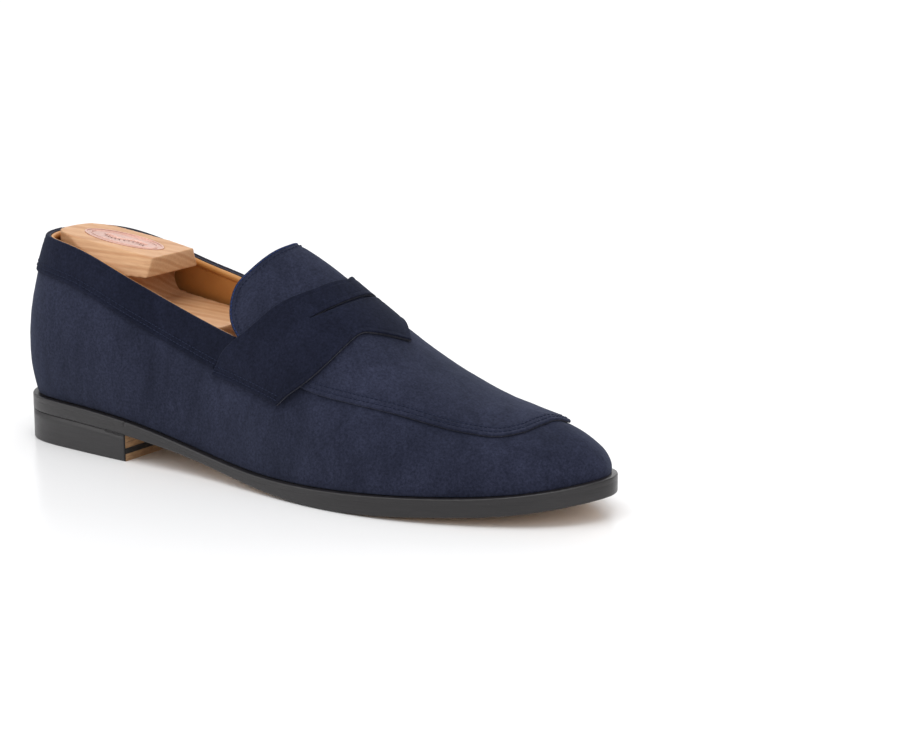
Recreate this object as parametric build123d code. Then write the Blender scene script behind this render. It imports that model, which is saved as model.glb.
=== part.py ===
from build123d import *
import math
import os

import numpy as np

# Penny loafer, right foot, with its wooden shoe tree.  Millimetres.
# +X points to the toe, -Y is the outer (lateral) side, +Z is up.  z = 0 is the ground.

# ---------------------------------------------------------------- driving dimensions
SOLE_LENGTH = 300.0
FEATHER_INSET = 2.8        # the upper stands this far inside the sole edge
GAP = 0.12                 # glue line between neighbouring layers
APRON_GAP = 0.25           # the apron lies this far above the last
STRAP_GAP = 0.45           # the strap's ends lie this far above the last
SUEDE = 1.3                # thickness of the suede panels
STIFFENER = 0.75
LINING = 0.9
COLLAR = 0.9
STRAP = 1.6
HEEL_BREAST_X = 73.0
LIFT_LEVELS = (3.3, 5.9, 8.6)   # tops of top piece, rubber layer and lower lift
RUBBER_ARC = 62.0          # radius of the joint between leather and rubber in the top piece
RAND_WIDTH = 12.0
WELT_THICKNESS = 2.3
INSOLE_THICKNESS = 2.4
SOCK_THICKNESS = 1.0
COLLAR_WIDTH = 16.5
COLLAR_END_GAP = 0.8       # between the collar's ends and the strap's rear edge
SEAM_U = 0.815             # place of the single vertical seam on the inner side
FIT_TOLERANCE = 0.04

# Shift from the working frame (heel back, ground) to the bottom centre of the whole shoe.
ORIGIN = (149.75, -0.72, 0.0)

# Sole edge in plan: outer side from heel to toe, then inner side back to the heel.
OUTER_SIDE = [(9.5, -24), (34, -31.5), (75, -35.5), (110, -37.5), (150, -44.5), (190, -50),
              (225, -47.5), (258, -37), (284, -22)]
INNER_SIDE = [(290, 23), (268, 36), (238, 45.5), (205, 48.5), (165, 38.5), (120, 29),
              (75, 32), (35, 31.5), (10, 23.5)]
TOE_TIP = [(SOLE_LENGTH - 3, -6), (SOLE_LENGTH, 4), (SOLE_LENGTH - 3, 14)]

# Side view of the sole: height of the welt top and of the outsole's tread along x.
SOLE_X = [0, 40, 75, 110, 150, 190, 240, 275, 300]
WELT_TOP = [21.0, 20.4, 18.1, 12.4, 8.0, 8.2, 10.6, 13.6, 18.0]
SOLE_BOTTOM = [13.8, 13.4, 11.8, 7.8, 2.5, 0.15, 2.6, 5.6, 10.0]

# The last (the shape of the foot) as a spine line and ribs that rise from the sole edge.
SPINE_X = [0, 40, 80, 120, 150, 180, 210, 240, 262]
SPINE_HEIGHT = [135.7, 131.5, 112.5, 103.4, 93.0, 74.5, 56.1, 44.1, 39.7]
SPINE_SIDE = [0, 0, 0, 2, 4, 3, 2, 3, 4]
RIB_BULGE = [14.5, 13.3, 7.5, 3.5, 1.4, 1.0, 1.3, 1.7, 2.5]
RIB_RISE = [0.39, 0.37, 0.37, 0.37, 0.39, 0.40, 0.41, 0.40, 0.40]
RIB_REACH = [0.42, 0.41, 0.44, 0.48, 0.53, 0.58, 0.61, 0.61, 0.60]
SPINE_START = 36.0         # the ribs of the heel gather here
SPINE_END = 262.0          # the ribs of the toe gather here
HEEL_FAN = 60.0
TOE_FAN = 215.0

# Topline heights along x on each side, and the apron seam as height up the rib.
TOPLINE_X = [0, 30, 50, 65, 80, 100, 115, 133]
TOPLINE_OUTER = [94.5, 93.0, 88.2, 82.8, 77.5, 70.8, 66.4, 62.0]
TOPLINE_INNER = [94.5, 92.7, 89.0, 85.6, 82.5, 78.6, 74.0, 67.0]
APRON_FROM_TOE = [0.0, 0.03, 0.05, 0.065, 0.08, 0.105, 0.14, 0.16, 0.18, 0.20, 0.22, 0.28]
APRON_RISE = [0.825, 0.77, 0.668, 0.61, 0.588, 0.578, 0.553, 0.51, 0.463, 0.425, 0.41, 0.44]
APRON_LAP = 0.07           # how far the side panel runs on under the apron
APRON_MIDDLE_U = 0.492
APRON_REAR_U = 0.235       # the seam runs from here, under the strap, to the toe corner
APRON_CORNER_U = 0.445

# Free edge of the tongue: x for each rise, then at the middle.
TONGUE_EDGE = [(0.47, 130.5), (0.53, 125.6), (0.60, 124.6), (0.70, 128.4), (0.80, 133.0), (0.90, 136.5)]
TONGUE_MIDDLE_X = 138.0

# Penny strap: edges along x for each height up the rib.
STRAP_RISE = [0.30, 0.42, 0.50, 0.56, 0.68, 0.78, 0.88, 1.0]
STRAP_REAR = [122.5, 130.8, 139.2, 144.0, 152.6, 159.4, 163.2, 166.0]
STRAP_FRONT_RISE = [0.30, 0.42, 0.54, 0.69, 0.78, 0.82, 0.86, 1.0]
STRAP_FRONT = [162.0, 173.0, 180.0, 184.5, 186.0, 187.2, 190.0, 200.5]
SLIT_HALF = 24.0
SLIT_ENDS_X = 165.5
SLIT_MIDDLE_X = 175.5
SLIT_WIDTH = 1.6

# Shoe tree.
TREE_FRONT_X = 113.0
TREE_TOP_Z = (66.0, 62.5)       # top of the heel block at the neck and at its front
HANDLE_FRONT_X = 75.5
HANDLE_TOP_Z = (96.8, 89.4)     # top of the handle at its rear and at its front
HANDLE_UNDERSIDE = 80.6
BRIDGE_X = (121.0, 158.0)
FOREFOOT_STATIONS = [(121.0, 4.7), (150.0, 4.7), (180.0, 4.7), (210.0, 4.8), (236.0, 5.5), (250.0, 7.0), (258.0, 9.0)]
FOREFOOT_RISES = (0.03, 0.14, 0.28, 0.45, 0.62, 0.80, 1.0)
FOREFOOT_CAP = 58.5
SPLIT_Y = -1.0                  # inner face of the medial half of the forefoot
PIN_RADIUS = 2.5
SPRING_POCKET = 5.0             # depth of the spring's seat in each half
SPRING_POCKET_RADIUS = 4.5
ROD_END_X = 140.0
TUBE_FLOOR_X = 154.6
TUBE_END_X = 156.0
TREE_AXIS_Z = 34.0
ROD_SPACING = 22.0
ROD_RADIUS = 3.0
TUBE_RADIUS = 4.2
RUNNING_FIT = 0.06
HEEL_BLOCK_CLEARANCE = 1.4
HEEL_TRAVEL = 6.0
SPREAD_TRAVEL = 3.0


# ---------------------------------------------------------------- curves and the last
def spline_through(xs, ys):
    """Natural cubic spline y(x) as a function that takes arrays."""
    xs = np.asarray(xs, float)
    ys = np.asarray(ys, float)
    count = len(xs)
    step = np.diff(xs)
    matrix = np.eye(count)
    right = np.zeros(count)
    for i in range(1, count - 1):
        matrix[i, i - 1] = step[i - 1]
        matrix[i, i] = 2 * (step[i - 1] + step[i])
        matrix[i, i + 1] = step[i]
        right[i] = 6 * ((ys[i + 1] - ys[i]) / step[i] - (ys[i] - ys[i - 1]) / step[i - 1])
    bend = np.linalg.solve(matrix, right)

    def value(x):
        x = np.clip(np.asarray(x, float), xs[0], xs[-1])
        i = np.clip(np.searchsorted(xs, x, side="right") - 1, 0, count - 2)
        a = (xs[i + 1] - x) / step[i]
        b = (x - xs[i]) / step[i]
        curve = (a ** 3 - a) * bend[i] + (b ** 3 - b) * bend[i + 1]
        return a * ys[i] + b * ys[i + 1] + curve * step[i] ** 2 / 6

    return value


def closed_spline(points):
    """Closed cubic spline through plan points; the parameter runs from 0 to 1."""
    points = np.asarray(points, float)
    count = len(points)
    step = np.linalg.norm(np.roll(points, -1, 0) - points, axis=1)
    knots = np.concatenate([[0], np.cumsum(step)])
    matrix = np.zeros((count, count))
    right = np.zeros((count, 2))
    for i in range(count):
        before, after = step[i - 1], step[i]
        following = (i + 1) % count
        matrix[i, i - 1] += before
        matrix[i, i] += 2 * (before + after)
        matrix[i, following] += after
        right[i] = 6 * ((points[following] - points[i]) / after - (points[i] - points[i - 1]) / before)
    bend = np.linalg.solve(matrix, right)

    def value(u):
        s = (np.asarray(u, float) % 1.0) * knots[-1]
        i = np.clip(np.searchsorted(knots, s, side="right") - 1, 0, count - 1)
        j = (i + 1) % count
        a = ((knots[i + 1] - s) / step[i])[..., None]
        b = ((s - knots[i]) / step[i])[..., None]
        curve = (a ** 3 - a) * bend[i] + (b ** 3 - b) * bend[j]
        return a * points[i] + b * points[j] + curve * step[i][..., None] ** 2 / 6

    return value


sole_edge = closed_spline([(0, 0)] + OUTER_SIDE + TOE_TIP + INNER_SIDE)
welt_top = spline_through(SOLE_X, WELT_TOP)
sole_bottom = spline_through(SOLE_X, SOLE_BOTTOM)
spine_height = spline_through(SPINE_X, SPINE_HEIGHT)
spine_side = spline_through(SPINE_X, SPINE_SIDE)
rib_bulge = spline_through(SPINE_X, RIB_BULGE)
rib_rise = spline_through(SPINE_X, RIB_RISE)
rib_reach = spline_through(SPINE_X, RIB_REACH)
topline_outer = spline_through(TOPLINE_X, TOPLINE_OUTER)
topline_inner = spline_through(TOPLINE_X, TOPLINE_INNER)
apron_rise = spline_through(APRON_FROM_TOE, APRON_RISE)
strap_rear = spline_through(STRAP_RISE, STRAP_REAR)
strap_front = spline_through(STRAP_FRONT_RISE, STRAP_FRONT)
tongue_edge = spline_through([0.40] + [rise for rise, x in TONGUE_EDGE], [137.0] + [x for rise, x in TONGUE_EDGE])


def edge_point(u, inset):
    """Plan point of the sole edge moved inwards, and its outward direction."""
    u = np.asarray(u, float)
    tangent = sole_edge(u + 1e-4) - sole_edge(u - 1e-4)
    tangent = tangent / np.linalg.norm(tangent, axis=-1, keepdims=True)
    outward = np.stack([tangent[..., 1], -tangent[..., 0]], -1)
    return sole_edge(u) - outward * inset, outward


def spine_x(x):
    """Where the rib that starts at x meets the spine: ribs fan out at heel and toe."""
    reach = SPINE_END - TOE_FAN
    span = SOLE_LENGTH - FEATHER_INSET - TOE_FAN
    part = np.clip((x - TOE_FAN) / span, 0, 1)
    toe = TOE_FAN + reach * (1 - (1 - part) ** (span / reach))
    reach = HEEL_FAN - SPINE_START
    span = HEEL_FAN - FEATHER_INSET
    part = np.clip((HEEL_FAN - x) / span, 0, 1)
    heel = HEEL_FAN - reach * (1 - (1 - part) ** (span / reach))
    return np.where(x > TOE_FAN, toe, np.where(x < HEEL_FAN, heel, x))


def last_point(u, v):
    """Point of the last: u runs round the sole edge, v climbs the rib from 0 to 1."""
    u, v = np.broadcast_arrays(np.asarray(u, float), np.asarray(v, float))
    foot, outward = edge_point(u, FEATHER_INSET)
    top_x = spine_x(foot[..., 0])
    base = welt_top(foot[..., 0]) + GAP
    height = spine_height(top_x)
    slope = (spine_height(top_x + 0.5) - spine_height(top_x - 0.5)) / 1.0
    top = np.stack([top_x, spine_side(top_x)], -1)
    back = (foot - top) * rib_reach(top_x)[..., None]
    p0 = np.concatenate([foot, base[..., None]], -1)
    rise = base + rib_rise(top_x) * (height - base)
    p1 = np.concatenate([foot + outward * rib_bulge(top_x)[..., None], rise[..., None]], -1)
    p2 = np.concatenate([top + back, (height + slope * back[..., 0])[..., None]], -1)
    p3 = np.concatenate([top, height[..., None]], -1)
    v = v[..., None]
    return (1 - v) ** 3 * p0 + 3 * v * (1 - v) ** 2 * p1 + 3 * v * v * (1 - v) * p2 + v ** 3 * p3


def last_normal(u, v):
    """Outward unit normal of the last."""
    e = 1e-3
    along = last_point(u + e, v) - last_point(u - e, v)
    up = last_point(u, np.minimum(v + e, 1)) - last_point(u, np.maximum(v - e, 0))
    normal = np.cross(along, up)
    return normal / np.linalg.norm(normal, axis=-1, keepdims=True)


def layer_point(u, v, height):
    """Point at a height above (or, when negative, below) the last."""
    return last_point(u, v) + np.asarray(height, float)[..., None] * last_normal(u, v)


RISES = np.linspace(0, 1, 101)


def rise_at_height(u, z_of_x):
    """How far up the rib at u the height z_of_x(x) lies."""
    rib = last_point(np.full_like(RISES, u), RISES)
    above = rib[:, 2] - z_of_x(rib[:, 0])
    first = int(np.argmax(above > 0))
    share = above[first - 1] / (above[first - 1] - above[first])
    return RISES[first - 1] + share * (RISES[first] - RISES[first - 1])


def smooth_step(x, start, end):
    part = np.clip((x - start) / (end - start), 0, 1)
    return part * part * (3 - 2 * part)


def apron_edge(u):
    """Rise of the apron seam at u."""
    return float(apron_rise(abs(u % 1.0 - APRON_MIDDLE_U)))


def topline_rise(u, drop=0.0):
    side = topline_outer if (u % 1.0) < 0.5 else topline_inner
    return rise_at_height(u, lambda x: side(x) - drop)


def panel_edge(u):
    """Upper edge of the side panel: the topline behind, under the apron in front."""
    x = float(sole_edge(u)[0])
    front = min(apron_edge(u) + APRON_LAP, 0.93) if x > 120 else 0.0
    if x > 150:
        return front
    share = float(smooth_step(x, 128, 150))
    rear = topline_rise(u)
    return rear * (1 - share) + front * share


# ---------------------------------------------------------------- solids from surfaces
def surface(points):
    rows = [[Vector(*point) for point in row] for row in points]
    return Face.make_surface_from_array_of_points(rows, tol=FIT_TOLERANCE, min_deg=3, max_deg=3)


def solid_between(outer_points, inner_points):
    """Solid between two grids of points that have the same layout."""
    outer = surface(outer_points)
    inner = surface(inner_points)
    walls = [Face.make_surface_from_curves(a, b) for a, b in zip(outer.edges(), inner.edges())]
    return Solid(Shell([outer, inner] + walls))


def band(us, low, high, outside, inside, rows=7):
    """Strip of the last between the rises low(u) and high(u), outside to inside."""
    grid_u = np.array([[u] * rows for u in us])
    grid_v = np.array([np.linspace(low(u), high(u), rows) for u in us])
    outer = layer_point(grid_u, grid_v, np.full(grid_u.shape, outside))
    inner = layer_point(grid_u, grid_v, np.full(grid_u.shape, inside))
    return solid_between(outer, inner)


TABLE_U, TABLE_V = np.meshgrid(np.linspace(0.13, 0.87, 900), np.linspace(0.25, 1, 160), indexing="ij")
TABLE = last_point(TABLE_U, TABLE_V).reshape(-1, 3)


def over_plan(x, y):
    """Height of the last over a plan point, and its normal there, from a local fit."""
    near = np.argsort((TABLE[:, 0] - x) ** 2 + (TABLE[:, 1] - y) ** 2)[:24]
    local = TABLE[near] - (x, y, 0)
    design = np.column_stack([np.ones(len(near)), local[:, 0], local[:, 1]])
    level, slope_x, slope_y = np.linalg.lstsq(design, local[:, 2], rcond=None)[0]
    normal = np.array([-slope_x, -slope_y, 1.0])
    return np.array([x, y, level]), normal / np.linalg.norm(normal)


def spread(points, count):
    """Evenly spread plan points along a smooth curve through the given ones."""
    points = np.asarray(points, float)
    run = np.concatenate([[0], np.cumsum(np.linalg.norm(np.diff(points, axis=0), axis=1))])
    even = np.linspace(0, run[-1], count)
    return np.column_stack([spline_through(run, points[:, k])(even) for k in (0, 1)])


def plan_sheet(outer_side, inner_side, rear, front, outside, inside, rows=31, columns=17):
    """Sheet over the instep that fills four plan curves which meet at their ends."""
    left, right = spread(outer_side, rows), spread(inner_side, rows)
    back, nose = spread(rear, columns), spread(front, columns)
    outer = []
    inner = []
    for i, s in enumerate(np.linspace(0, 1, rows)):
        spots = []
        for j, t in reversed(list(enumerate(np.linspace(0, 1, columns)))):
            edges = (1 - s) * back[j] + s * nose[j] + (1 - t) * left[i] + t * right[i]
            corners = (1 - s) * ((1 - t) * left[0] + t * right[0]) + s * ((1 - t) * left[-1] + t * right[-1])
            spots.append(over_plan(*(edges - corners)))
        outer.append([point + normal * outside for point, normal in spots])
        inner.append([point + normal * inside for point, normal in spots])
    return solid_between(outer, inner)


def plan_wire(inset, count=44):
    """Closed plan outline of the sole edge moved inwards."""
    points = [tuple(edge_point(u, inset)[0]) for u in np.arange(count) / count]
    return Wire([Spline(points, periodic=True).edge()])


def upright(wire, low, high):
    """Vertical prism over a closed plan wire."""
    return Pos(0, 0, low) * extrude(Face(wire), high - low)


def side_slab(low, high, x_from, x_to, width=70.0, count=16):
    """Slab across the shoe between two height curves, seen from the side."""
    xs = np.linspace(x_from, x_to, count)
    top = Spline([(x, 0, float(high(x))) for x in xs])
    bottom = Spline([(x, 0, float(low(x))) for x in xs])
    front = Line(top @ 1, bottom @ 1)
    rear = Line(bottom @ 0, top @ 0)
    face = Face(Wire([top.edge(), front.edge(), bottom.edge(), rear.edge()]))
    return extrude(face, amount=width, dir=(0, 1, 0), both=True)


def block(x0, x1, y0, y1, z0, z1):
    return Pos((x0 + x1) / 2, (y0 + y1) / 2, (z0 + z1) / 2) * Box(x1 - x0, y1 - y0, z1 - z0)


def rod(x0, x1, y, z, radius):
    """Round bar along X."""
    return Pos((x0 + x1) / 2, y, z) * Rot(0, 90, 0) * Cylinder(radius, x1 - x0)


def upright_pin(x, y, z0, z1, radius):
    return Pos(x, y, (z0 + z1) / 2) * Cylinder(radius, z1 - z0)


# ---------------------------------------------------------------- sole and heel
def sole_layers():
    far = SOLE_LENGTH + 5
    welt_low = lambda x: welt_top(x) - WELT_THICKNESS
    sole_high = lambda x: welt_top(x) - WELT_THICKNESS - GAP
    full = upright(plan_wire(0.0), -1, 40)
    inner = upright(plan_wire(RAND_WIDTH), -1, 40)
    core = upright(plan_wire(RAND_WIDTH + GAP), -1, 40)
    welt_slab = side_slab(welt_low, welt_top, -5, far)
    ring = (full & welt_slab) - inner
    front = block(HEEL_BREAST_X + GAP, far, -60, 60, -1, 60)
    rear = block(-10, HEEL_BREAST_X, -60, 60, -1, 60)
    parts = {"welt": ring & front, "heel_rand": ring & rear}
    shank = steel_shank()
    shank_room = block(44.5, 155.5, -6.7, 6.7, 0, 40)
    cork = core & side_slab(lambda x: welt_low(x) + GAP / 2, lambda x: welt_top(x) - GAP / 2, -5, far)
    parts["cork_filler"] = cork - shank_room
    parts["steel_shank"] = shank
    parts["outsole"] = upright(plan_wire(0.25), -1, 40) & side_slab(sole_bottom, sole_high, -5, far)
    return parts


def steel_shank():
    """Sprung steel strip in the waist, between insole and outsole."""
    strip = side_slab(lambda x: welt_top(x) - 1.8, lambda x: welt_top(x) - 0.5, 45, 155)
    return strip & block(45, 155, -6.2, 6.2, 0, 40)


def heel_nail_places():
    """Nail rows round the rubber quarter, set in from the heel edge."""
    return [tuple(edge_point(u, 7.5)[0]) for u in (-0.085, -0.055, -0.02, 0.02, 0.055, 0.085)]


def heel_stack():
    breast = block(-10, HEEL_BREAST_X, -60, 60, -1, 40)
    plan = upright(plan_wire(0.5), -1, 40) & breast
    levels = (0.0,) + LIFT_LEVELS
    seat = side_slab(lambda x: 0 * x - 5, lambda x: sole_bottom(x) - GAP, -5, HEEL_BREAST_X + 5)
    names = ["top_piece", "heel_rubber_layer", "heel_lift_lower"]
    parts = {}
    for i, name in enumerate(names):
        parts[name] = plan & block(-10, 90, -60, 60, levels[i] + (GAP if i else 0), levels[i + 1])
    parts["heel_lift_upper"] = (plan & seat) & block(-10, 90, -60, 60, LIFT_LEVELS[-1] + GAP, 40)
    top_piece = parts.pop("top_piece")
    front = Pos(HEEL_BREAST_X + 30, 0, 0)
    parts["top_piece_leather"] = top_piece & (front * Cylinder(RUBBER_ARC, 20))
    parts["top_piece_rubber"] = top_piece - front * Cylinder(RUBBER_ARC + GAP, 20)
    nails = []
    for x, y in heel_nail_places():
        hole = upright_pin(x, y, -1, 6.0, 0.95)
        parts["top_piece_rubber"] = parts["top_piece_rubber"] - hole
        parts["heel_rubber_layer"] = parts["heel_rubber_layer"] - hole
        parts["top_piece_leather"] = parts["top_piece_leather"] - hole
        nails.append(upright_pin(x, y, 0.15, 5.7, 0.85))
    parts["heel_nails"] = Compound(children=[nail.solid() for nail in nails])
    return parts


def insole_layers():
    far = SOLE_LENGTH
    board_low = lambda x: welt_top(x) + GAP
    board_high = lambda x: welt_top(x) + GAP + INSOLE_THICKNESS
    sock_low = lambda x: board_high(x) + GAP
    sock_high = lambda x: sock_low(x) + SOCK_THICKNESS
    inset = FEATHER_INSET + SUEDE + STIFFENER + LINING + 2 * GAP + 0.4
    plan = upright(plan_wire(inset), 0, 60)
    board = plan & side_slab(board_low, board_high, 0, far)
    sock = upright(plan_wire(inset + 0.3), 0, 60) & side_slab(sock_low, sock_high, 0, far)
    pad_room = upright(plan_wire(inset + 9), 0, 60) & block(0, 66, -60, 60, 0, 60)
    pad_cut = upright(plan_wire(inset + 9 - GAP), 0, 60) & block(0, 66 + GAP, -60, 60, 0, 60)
    pad_low = lambda x: board_high(x) - 1.0
    pad = pad_room & side_slab(lambda x: pad_low(x) + GAP, board_high, 0, 90)
    board = board - (pad_cut & side_slab(pad_low, lambda x: board_high(x) + 3, -1, 90))
    return {"insole_board": board, "sock_lining": sock, "heel_cushion": pad}


# ---------------------------------------------------------------- upper
def side_panel():
    us = SEAM_U + np.linspace(0.0006, 0.9994, 97)
    return band(us, lambda u: 0.0, panel_edge, 0.0, -SUEDE, rows=9)


def collar_end(share, side):
    """Place round the sole where a row of the collar stops, just behind the strap."""
    us = np.linspace(0.12, 0.30, 60) if side < 0 else np.linspace(0.70, 0.88, 60)
    low = np.array([topline_rise(u, COLLAR_WIDTH) for u in us])
    high = np.array([topline_rise(u) for u in us])
    rises = low + (high - low) * share
    limit = np.minimum(strap_rear(rises), tongue_edge(rises)) - COLLAR_END_GAP
    room = limit - last_point(us, rises)[:, 0]
    order = np.argsort(room)
    return float(np.interp(0.0, room[order], us[order]))


def collar_band():
    """Band along the topline from strap to strap round the heel; its ends follow the strap."""
    rows = np.linspace(0, 1, 6)
    start = [collar_end(share, 1) for share in rows]
    end = [1 + collar_end(share, -1) for share in rows]
    grid_u = np.array([[a + (b - a) * s for a, b in zip(start, end)] for s in np.linspace(0, 1, 70)])
    grid_v = np.zeros_like(grid_u)
    for i in range(grid_u.shape[0]):
        for j, share in enumerate(rows):
            low = topline_rise(grid_u[i, j], COLLAR_WIDTH)
            high = topline_rise(grid_u[i, j])
            grid_v[i, j] = low + (high - low) * share
    outer = layer_point(grid_u, grid_v, np.full(grid_u.shape, GAP + COLLAR))
    inner = layer_point(grid_u, grid_v, np.full(grid_u.shape, GAP))
    return solid_between(outer, inner)


def apron_sheet(outside, inside, grow=0.0):
    """Apron and tongue in one sheet; grow moves its seam down the sides."""
    def seam(u):
        return last_point(u, apron_edge(u) - grow)[:2]

    mirrored = 2 * APRON_MIDDLE_U
    side = np.linspace(APRON_REAR_U, APRON_CORNER_U, 12)
    outer_side = [seam(u) for u in side]
    inner_side = [seam(mirrored - u) for u in side]
    front = [seam(u) for u in np.linspace(APRON_CORNER_U, mirrored - APRON_CORNER_U, 9)]
    rear = [outer_side[0]]
    rear += [tongue_point(rise, x, -1) for rise, x in TONGUE_EDGE]
    rear += [np.array([TONGUE_MIDDLE_X, float(spine_side(TONGUE_MIDDLE_X))])]
    rear += [tongue_point(rise, x, 1) for rise, x in reversed(TONGUE_EDGE)]
    rear += [inner_side[0]]
    return plan_sheet(outer_side, inner_side, rear, front, outside, inside)


def tongue_point(rise, x, side):
    """Plan point at a given rise and x on the outer (-1) or inner (+1) side."""
    us = np.linspace(0.15, 0.34, 200) if side < 0 else np.linspace(0.66, 0.85, 200)
    xs = last_point(us, rise)[:, 0]
    order = np.argsort(xs)
    u = float(np.interp(x, xs[order], us[order]))
    return last_point(u, rise)[:2]


def apron():
    return apron_sheet(APRON_GAP + SUEDE, APRON_GAP)


def apron_lining():
    outside = -SUEDE - STIFFENER - 2 * GAP
    return apron_sheet(outside, outside - LINING, grow=-0.02)


def strap_height(u, v):
    """The strap lies on the side panel and climbs onto the apron."""
    on_apron = smooth_step(v, apron_edge(u) - 0.12, apron_edge(u) - 0.04)
    return STRAP_GAP + (SUEDE + APRON_GAP) * on_apron


def penny_strap():
    rises = np.concatenate([np.linspace(0.30, 0.96, 18), [1.0]])
    columns = [(rise, -1) for rise in rises] + [(rise, 1) for rise in rises[-2::-1]]
    outer = []
    inner = []
    for rise, side in columns:
        us = np.linspace(0.10, 0.40, 260) if side < 0 else np.linspace(0.60, 0.90, 260)
        xs = last_point(us, rise)[:, 0]
        order = np.argsort(xs)
        row_x = np.linspace(float(strap_rear(rise)), float(strap_front(rise)), 9)
        row_u = np.interp(row_x, xs[order], us[order])
        base = np.array([strap_height(u, rise) for u in row_u])
        rise_row = np.full(len(row_u), rise)
        outer.append(layer_point(row_u, rise_row, base + STRAP))
        inner.append(layer_point(row_u, rise_row, base))
    strap = solid_between(outer, inner)
    return strap - strap_slit()


def strap_slit():
    """Crescent opening across the middle of the strap."""
    middle_y = float(spine_side(SLIT_MIDDLE_X))
    ends = [(SLIT_ENDS_X, middle_y - SLIT_HALF), (SLIT_ENDS_X, middle_y + SLIT_HALF)]
    rear = ThreePointArc(ends[0], (SLIT_MIDDLE_X - SLIT_WIDTH / 2, middle_y), ends[1])
    front = ThreePointArc(ends[1], (SLIT_MIDDLE_X + SLIT_WIDTH / 2, middle_y), ends[0])
    return upright(Wire([rear.edge(), front.edge()]), 40, 110)


def lining_edge(u):
    """Upper edge of the linings: just under the topline, then short of the apron lining."""
    x = float(sole_edge(u)[0])
    front = apron_edge(u) - 0.02 if x > 110 else 0.0
    if x > 130:
        return front
    share = float(smooth_step(x, 118, 130))
    return (topline_rise(u) - 0.012) * (1 - share) + front * share


def linings():
    """Leather linings of the two quarters and of the vamp sides."""
    outside = -SUEDE - STIFFENER - 2 * GAP
    inside = outside - LINING
    places = {
        "quarter_lining_lateral": np.linspace(0.002, 0.238, 30),
        "quarter_lining_medial": np.linspace(0.765, 0.998, 30),
        "vamp_lining": np.linspace(0.241, 0.762, 60),
    }
    return {name: band(us, lambda u: 0.0, lining_edge, outside, inside) for name, us in places.items()}


def stiffeners():
    """Heel counter, toe puff and the two side reinforcements between suede and lining."""
    outside = -SUEDE - GAP
    inside = outside - STIFFENER

    def low(u):
        return 0.0

    def counter_top(u):
        return topline_rise(u, 16.0)

    def puff_top(u):
        return apron_edge(u) - 0.03

    def side_top(u):
        return min(0.33, panel_edge(u) - 0.05)

    places = {
        "heel_counter": (0.872, 1.132, 40, counter_top),
        "toe_puff": (0.405, 0.58, 30, puff_top),
        "side_stiffener_lateral": (0.135, 0.40, 30, side_top),
        "side_stiffener_medial": (0.585, 0.869, 30, side_top),
    }
    return {
        name: band(np.linspace(first, last, count), low, top, outside, inside)
        for name, (first, last, count, top) in places.items()
    }


# ---------------------------------------------------------------- shoe tree
def sock_top(x):
    return welt_top(x) + INSOLE_THICKNESS + SOCK_THICKNESS + 2 * GAP


def heel_block_section(z):
    """Plan outline of the heel block at one height, clear of the lining over its travel."""
    depth = -SUEDE - STIFFENER - LINING - 2 * GAP - HEEL_BLOCK_CLEARANCE
    sides = []
    for side in (1, -1):
        us = side * np.linspace(0.0, 0.24, 49)
        rises = [rise_at_height(u, lambda x: 0 * x + z) for u in us]
        wall = layer_point(us, np.array(rises), np.full(len(us), depth))
        ahead = np.interp(wall[:, 0] + HEEL_TRAVEL, wall[:, 0], wall[:, 1])
        narrow = -np.minimum(-wall[:, 1], -ahead) if side > 0 else np.minimum(wall[:, 1], ahead)
        sides.append(np.column_stack([wall[:, 0], narrow])[[4, 9, 15, 22, 30, 40]])
    rear = layer_point(0.0, rise_at_height(0.0, lambda x: 0 * x + z), depth)
    points = [*sides[0][::-1], rear[:2], *sides[1]]
    curve = Spline([Vector(float(x), float(y), z) for x, y in points])
    return Wire([curve.edge(), Line(curve @ 1, curve @ 0).edge()])


def handle_outline(z):
    half = [(75.5, 20.2), (58, 20.6), (38, 18.6), (23, 14.0), (14, 7.0)]
    points = [(x, -y) for x, y in half] + [(11.5, 0)] + [(x, y) for x, y in reversed(half)]
    curve = Spline([Vector(x, y, z) for x, y in points])
    return Wire([curve.edge(), Line(curve @ 1, curve @ 0).edge()])


def handle_top(x):
    share = (x - 11.5) / (HANDLE_FRONT_X - 11.5)
    return HANDLE_TOP_Z[0] + share * (HANDLE_TOP_Z[1] - HANDLE_TOP_Z[0])


def tree_side_profile():
    """Side outline of block, cove and handle, extruded across."""
    front_top = (TREE_FRONT_X, 0, TREE_TOP_Z[1])
    cove_low = (66, 0, TREE_TOP_Z[0])
    cove_high = (68, 0, HANDLE_UNDERSIDE)
    nose_low = (HANDLE_FRONT_X - 0.8, 0, HANDLE_UNDERSIDE)
    nose_top = (HANDLE_FRONT_X, 0, HANDLE_TOP_Z[1])
    rear_top = (-2, 0, handle_top(-2))
    rear_low = (-8, 0, float(sock_top(0)) + 1.4)
    heel_floor = (20, 0, float(sock_top(20)) + 1.2)
    seat_floor = (45, 0, float(sock_top(45)) + 1.2)
    mid_floor = (75, 0, float(sock_top(75)) + 1.4)
    front_floor = (TREE_FRONT_X, 0, float(sock_top(TREE_FRONT_X)) + 2.4)
    cove = ThreePointArc(cove_low, (58.5, 0, 72.5), cove_high)
    straight = Polyline(cove_high, nose_low, nose_top, rear_top, rear_low, heel_floor, seat_floor,
                        mid_floor, front_floor, front_top, cove_low)
    face = Face(Wire(cove.edges() + straight.edges()))
    return extrude(face, amount=45, dir=(0, 1, 0), both=True)


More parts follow.
